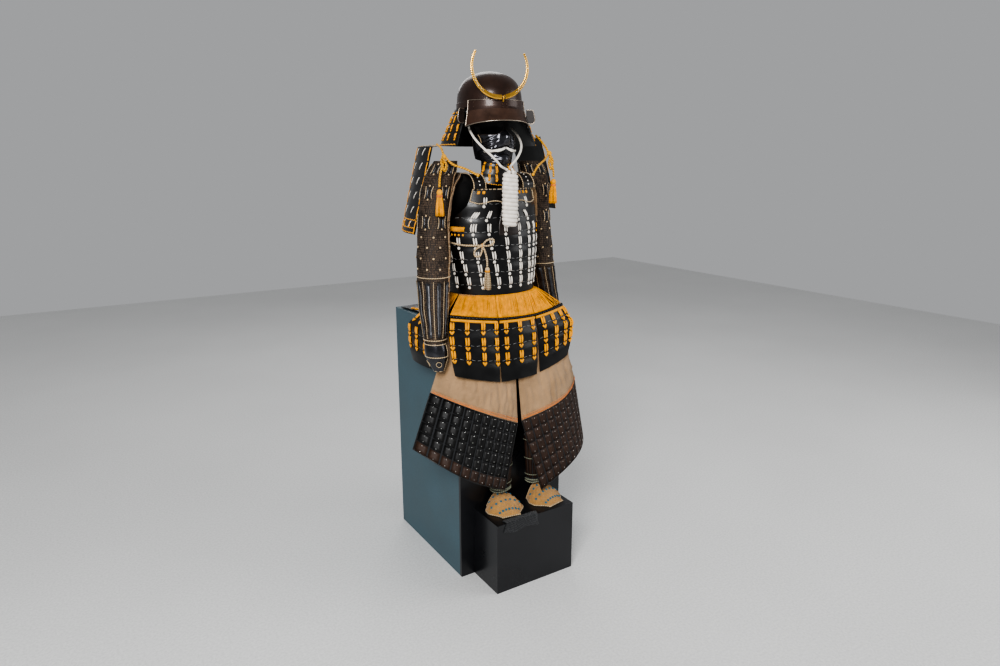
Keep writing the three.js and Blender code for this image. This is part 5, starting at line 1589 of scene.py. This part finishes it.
def make_foot_guard(name):
    turn, x, y = FEET[name]
    turn *= DEG
    half, length, instep = 70, 106, 52

    def point(u, v):
        across = 2 * u - 1
        heel = mix(0.74, 1, smooth_step(v / 0.35))
        toe = mix(1, 0.5, smooth_step((v - 0.5) / 0.5))
        arch = (1 - np.abs(across) ** 2.2) * instep * np.maximum(1 - v ** 1.6, 0)
        px, py = across * half * heel * toe, -v * length
        return np.stack([px * math.cos(turn) - py * math.sin(turn) + x,
                         px * math.sin(turn) + py * math.cos(turn) + y + 40,
                         arch + 268.9], -1)

    surface = Surface(point, (x, y, 205))

    def relief(u, v):
        edge = np.minimum(1, 12 * np.minimum(np.minimum(u, 1 - u), np.minimum(v, 1 - v)))
        a, b = np.abs(np.sin(np.pi * (6 * u + 5 * v))), np.abs(np.sin(np.pi * (6 * u - 5 * v)))
        return (0.4 + 3.0 * np.sqrt(a * b)) * edge

    obj = wall(f"foot_quilt_{name}", surface, np.linspace(0, 1, 100), np.linspace(0, 1, 90), 3.0, QUILT,
               relief)
    declare(obj, "quilt", f"foot_guard_{name}")
    knots, binding = Parts(), Parts()
    for v in (0.2, 0.5, 0.8):
        for u in np.linspace(0.12, 0.88, 7):
            knot(knots, surface, u, v, 3.4, 4.6, 0.55)
    edge_cord(binding, surface, [(0, 0), (0, 1), (1, 1), (1, 0), (0, 0)], 2.4, -1.2, 260)
    declare(knots.build(f"foot_knots_{name}", BLUE), "quilt")
    declare(binding.build(f"foot_binding_{name}", TAN_CORD), "quilt")


TIE = {"right": -132, "left": 12, "top": 22, "drop": 42, "clear": 0.4, "wall": 2.0}


def make_tie_cloth():
    edge = -(255 + 0.3 + 160)
    lift = TIE["clear"] + TIE["wall"]
    total = TIE["top"] + TIE["drop"]

    def point(u, v):
        run = v * total - TIE["top"]
        across = mix(TIE["right"] + 6 * np.sin(5 * v), TIE["left"] - 9 * np.sin(3 * v), u)
        y = np.maximum(edge - lift, edge - lift - run)
        z = 265 + lift - np.maximum(run, 0) * mix(0.8, 1, np.sin(5 * u) ** 2)
        return np.stack([across, y, z], -1)

    surface = Surface(point, (-60, -300, 150))

    def relief(u, v):
        return 0.4 + 3.4 * crumple(u * 5, v * 3, 1.3) * np.minimum(1, 10 * np.minimum(u, 1 - u) + 0.2)

    obj = wall("tie_cloth_folds", surface, np.linspace(0, 1, 90), np.linspace(0, 1, 50), 1.8, DYED, relief)
    declare(obj, "dyed_cloth", "tie_cloth")
    sheet(surface)


for side_sign, side_name in ((-1, "right"), (1, "left")):
    make_shoulder_guard(side_sign, side_name)
    make_guard_cord(side_name)
    make_thigh_guard(side_sign, side_name)
    make_shin_guard(side_name)
    make_foot_guard(side_name)
make_tie_cloth()


# Plinth and stand keep their solids, with a small bevel and paint
def dress_node(name, finish, bevel=0.0):
    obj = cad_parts[name]
    obj.data.materials.clear()
    obj.data.materials.append(finish)
    if bevel:
        mod = obj.modifiers.new("edge", "BEVEL")
        mod.width = bevel
        mod.segments = 3
        mod.limit_method = "ANGLE"


dress_node("seat_box", SLATE, 0.0015)
dress_node("seat_front_board", SATIN_BLACK, 0.0012)
dress_node("foot_box", SATIN_BLACK, 0.0015)
dress_node("stand_post", STAND_BLACK, 0.001)
dress_node("stand_yoke", STAND_BLACK, 0.002)
dress_node("stand_head", STAND_BLACK)


# Floor and light
def make_stage():
    bpy.ops.mesh.primitive_plane_add(size=12, location=(0, 0, -0.0005))
    floor = bpy.context.object
    floor.name = "floor"
    floor.data.materials.append(PALE_FLOOR)
    bpy.context.scene.view_settings.look = "AgX - High Contrast"
    world = bpy.context.scene.world or bpy.data.worlds.new("studio")
    bpy.context.scene.world = world
    world.use_nodes = True
    world.node_tree.nodes["Background"].inputs["Color"].default_value = (0.93, 0.94, 0.96, 1)
    world.node_tree.nodes["Background"].inputs["Strength"].default_value = 0.34
    for name, place, aim, size, power in (
            ("key", (-2.6, -2.9, 3.0), (0, -0.1, 1.1), 1.6, 135),
            ("fill", (3.0, -2.2, 2.2), (0, -0.1, 1.0), 2.4, 36),
            ("back", (1.2, 3.0, 3.2), (0, 0, 1.2), 2.0, 22)):
        data = bpy.data.lights.new(name, "AREA")
        data.size = size
        data.energy = power
        lamp = bpy.data.objects.new(name, data)
        bpy.context.collection.objects.link(lamp)
        lamp.location = place
        way = Vector(np.array(aim) - np.array(place))
        lamp.rotation_euler = way.to_track_quat("-Z", "Y").to_euler()


make_stage()
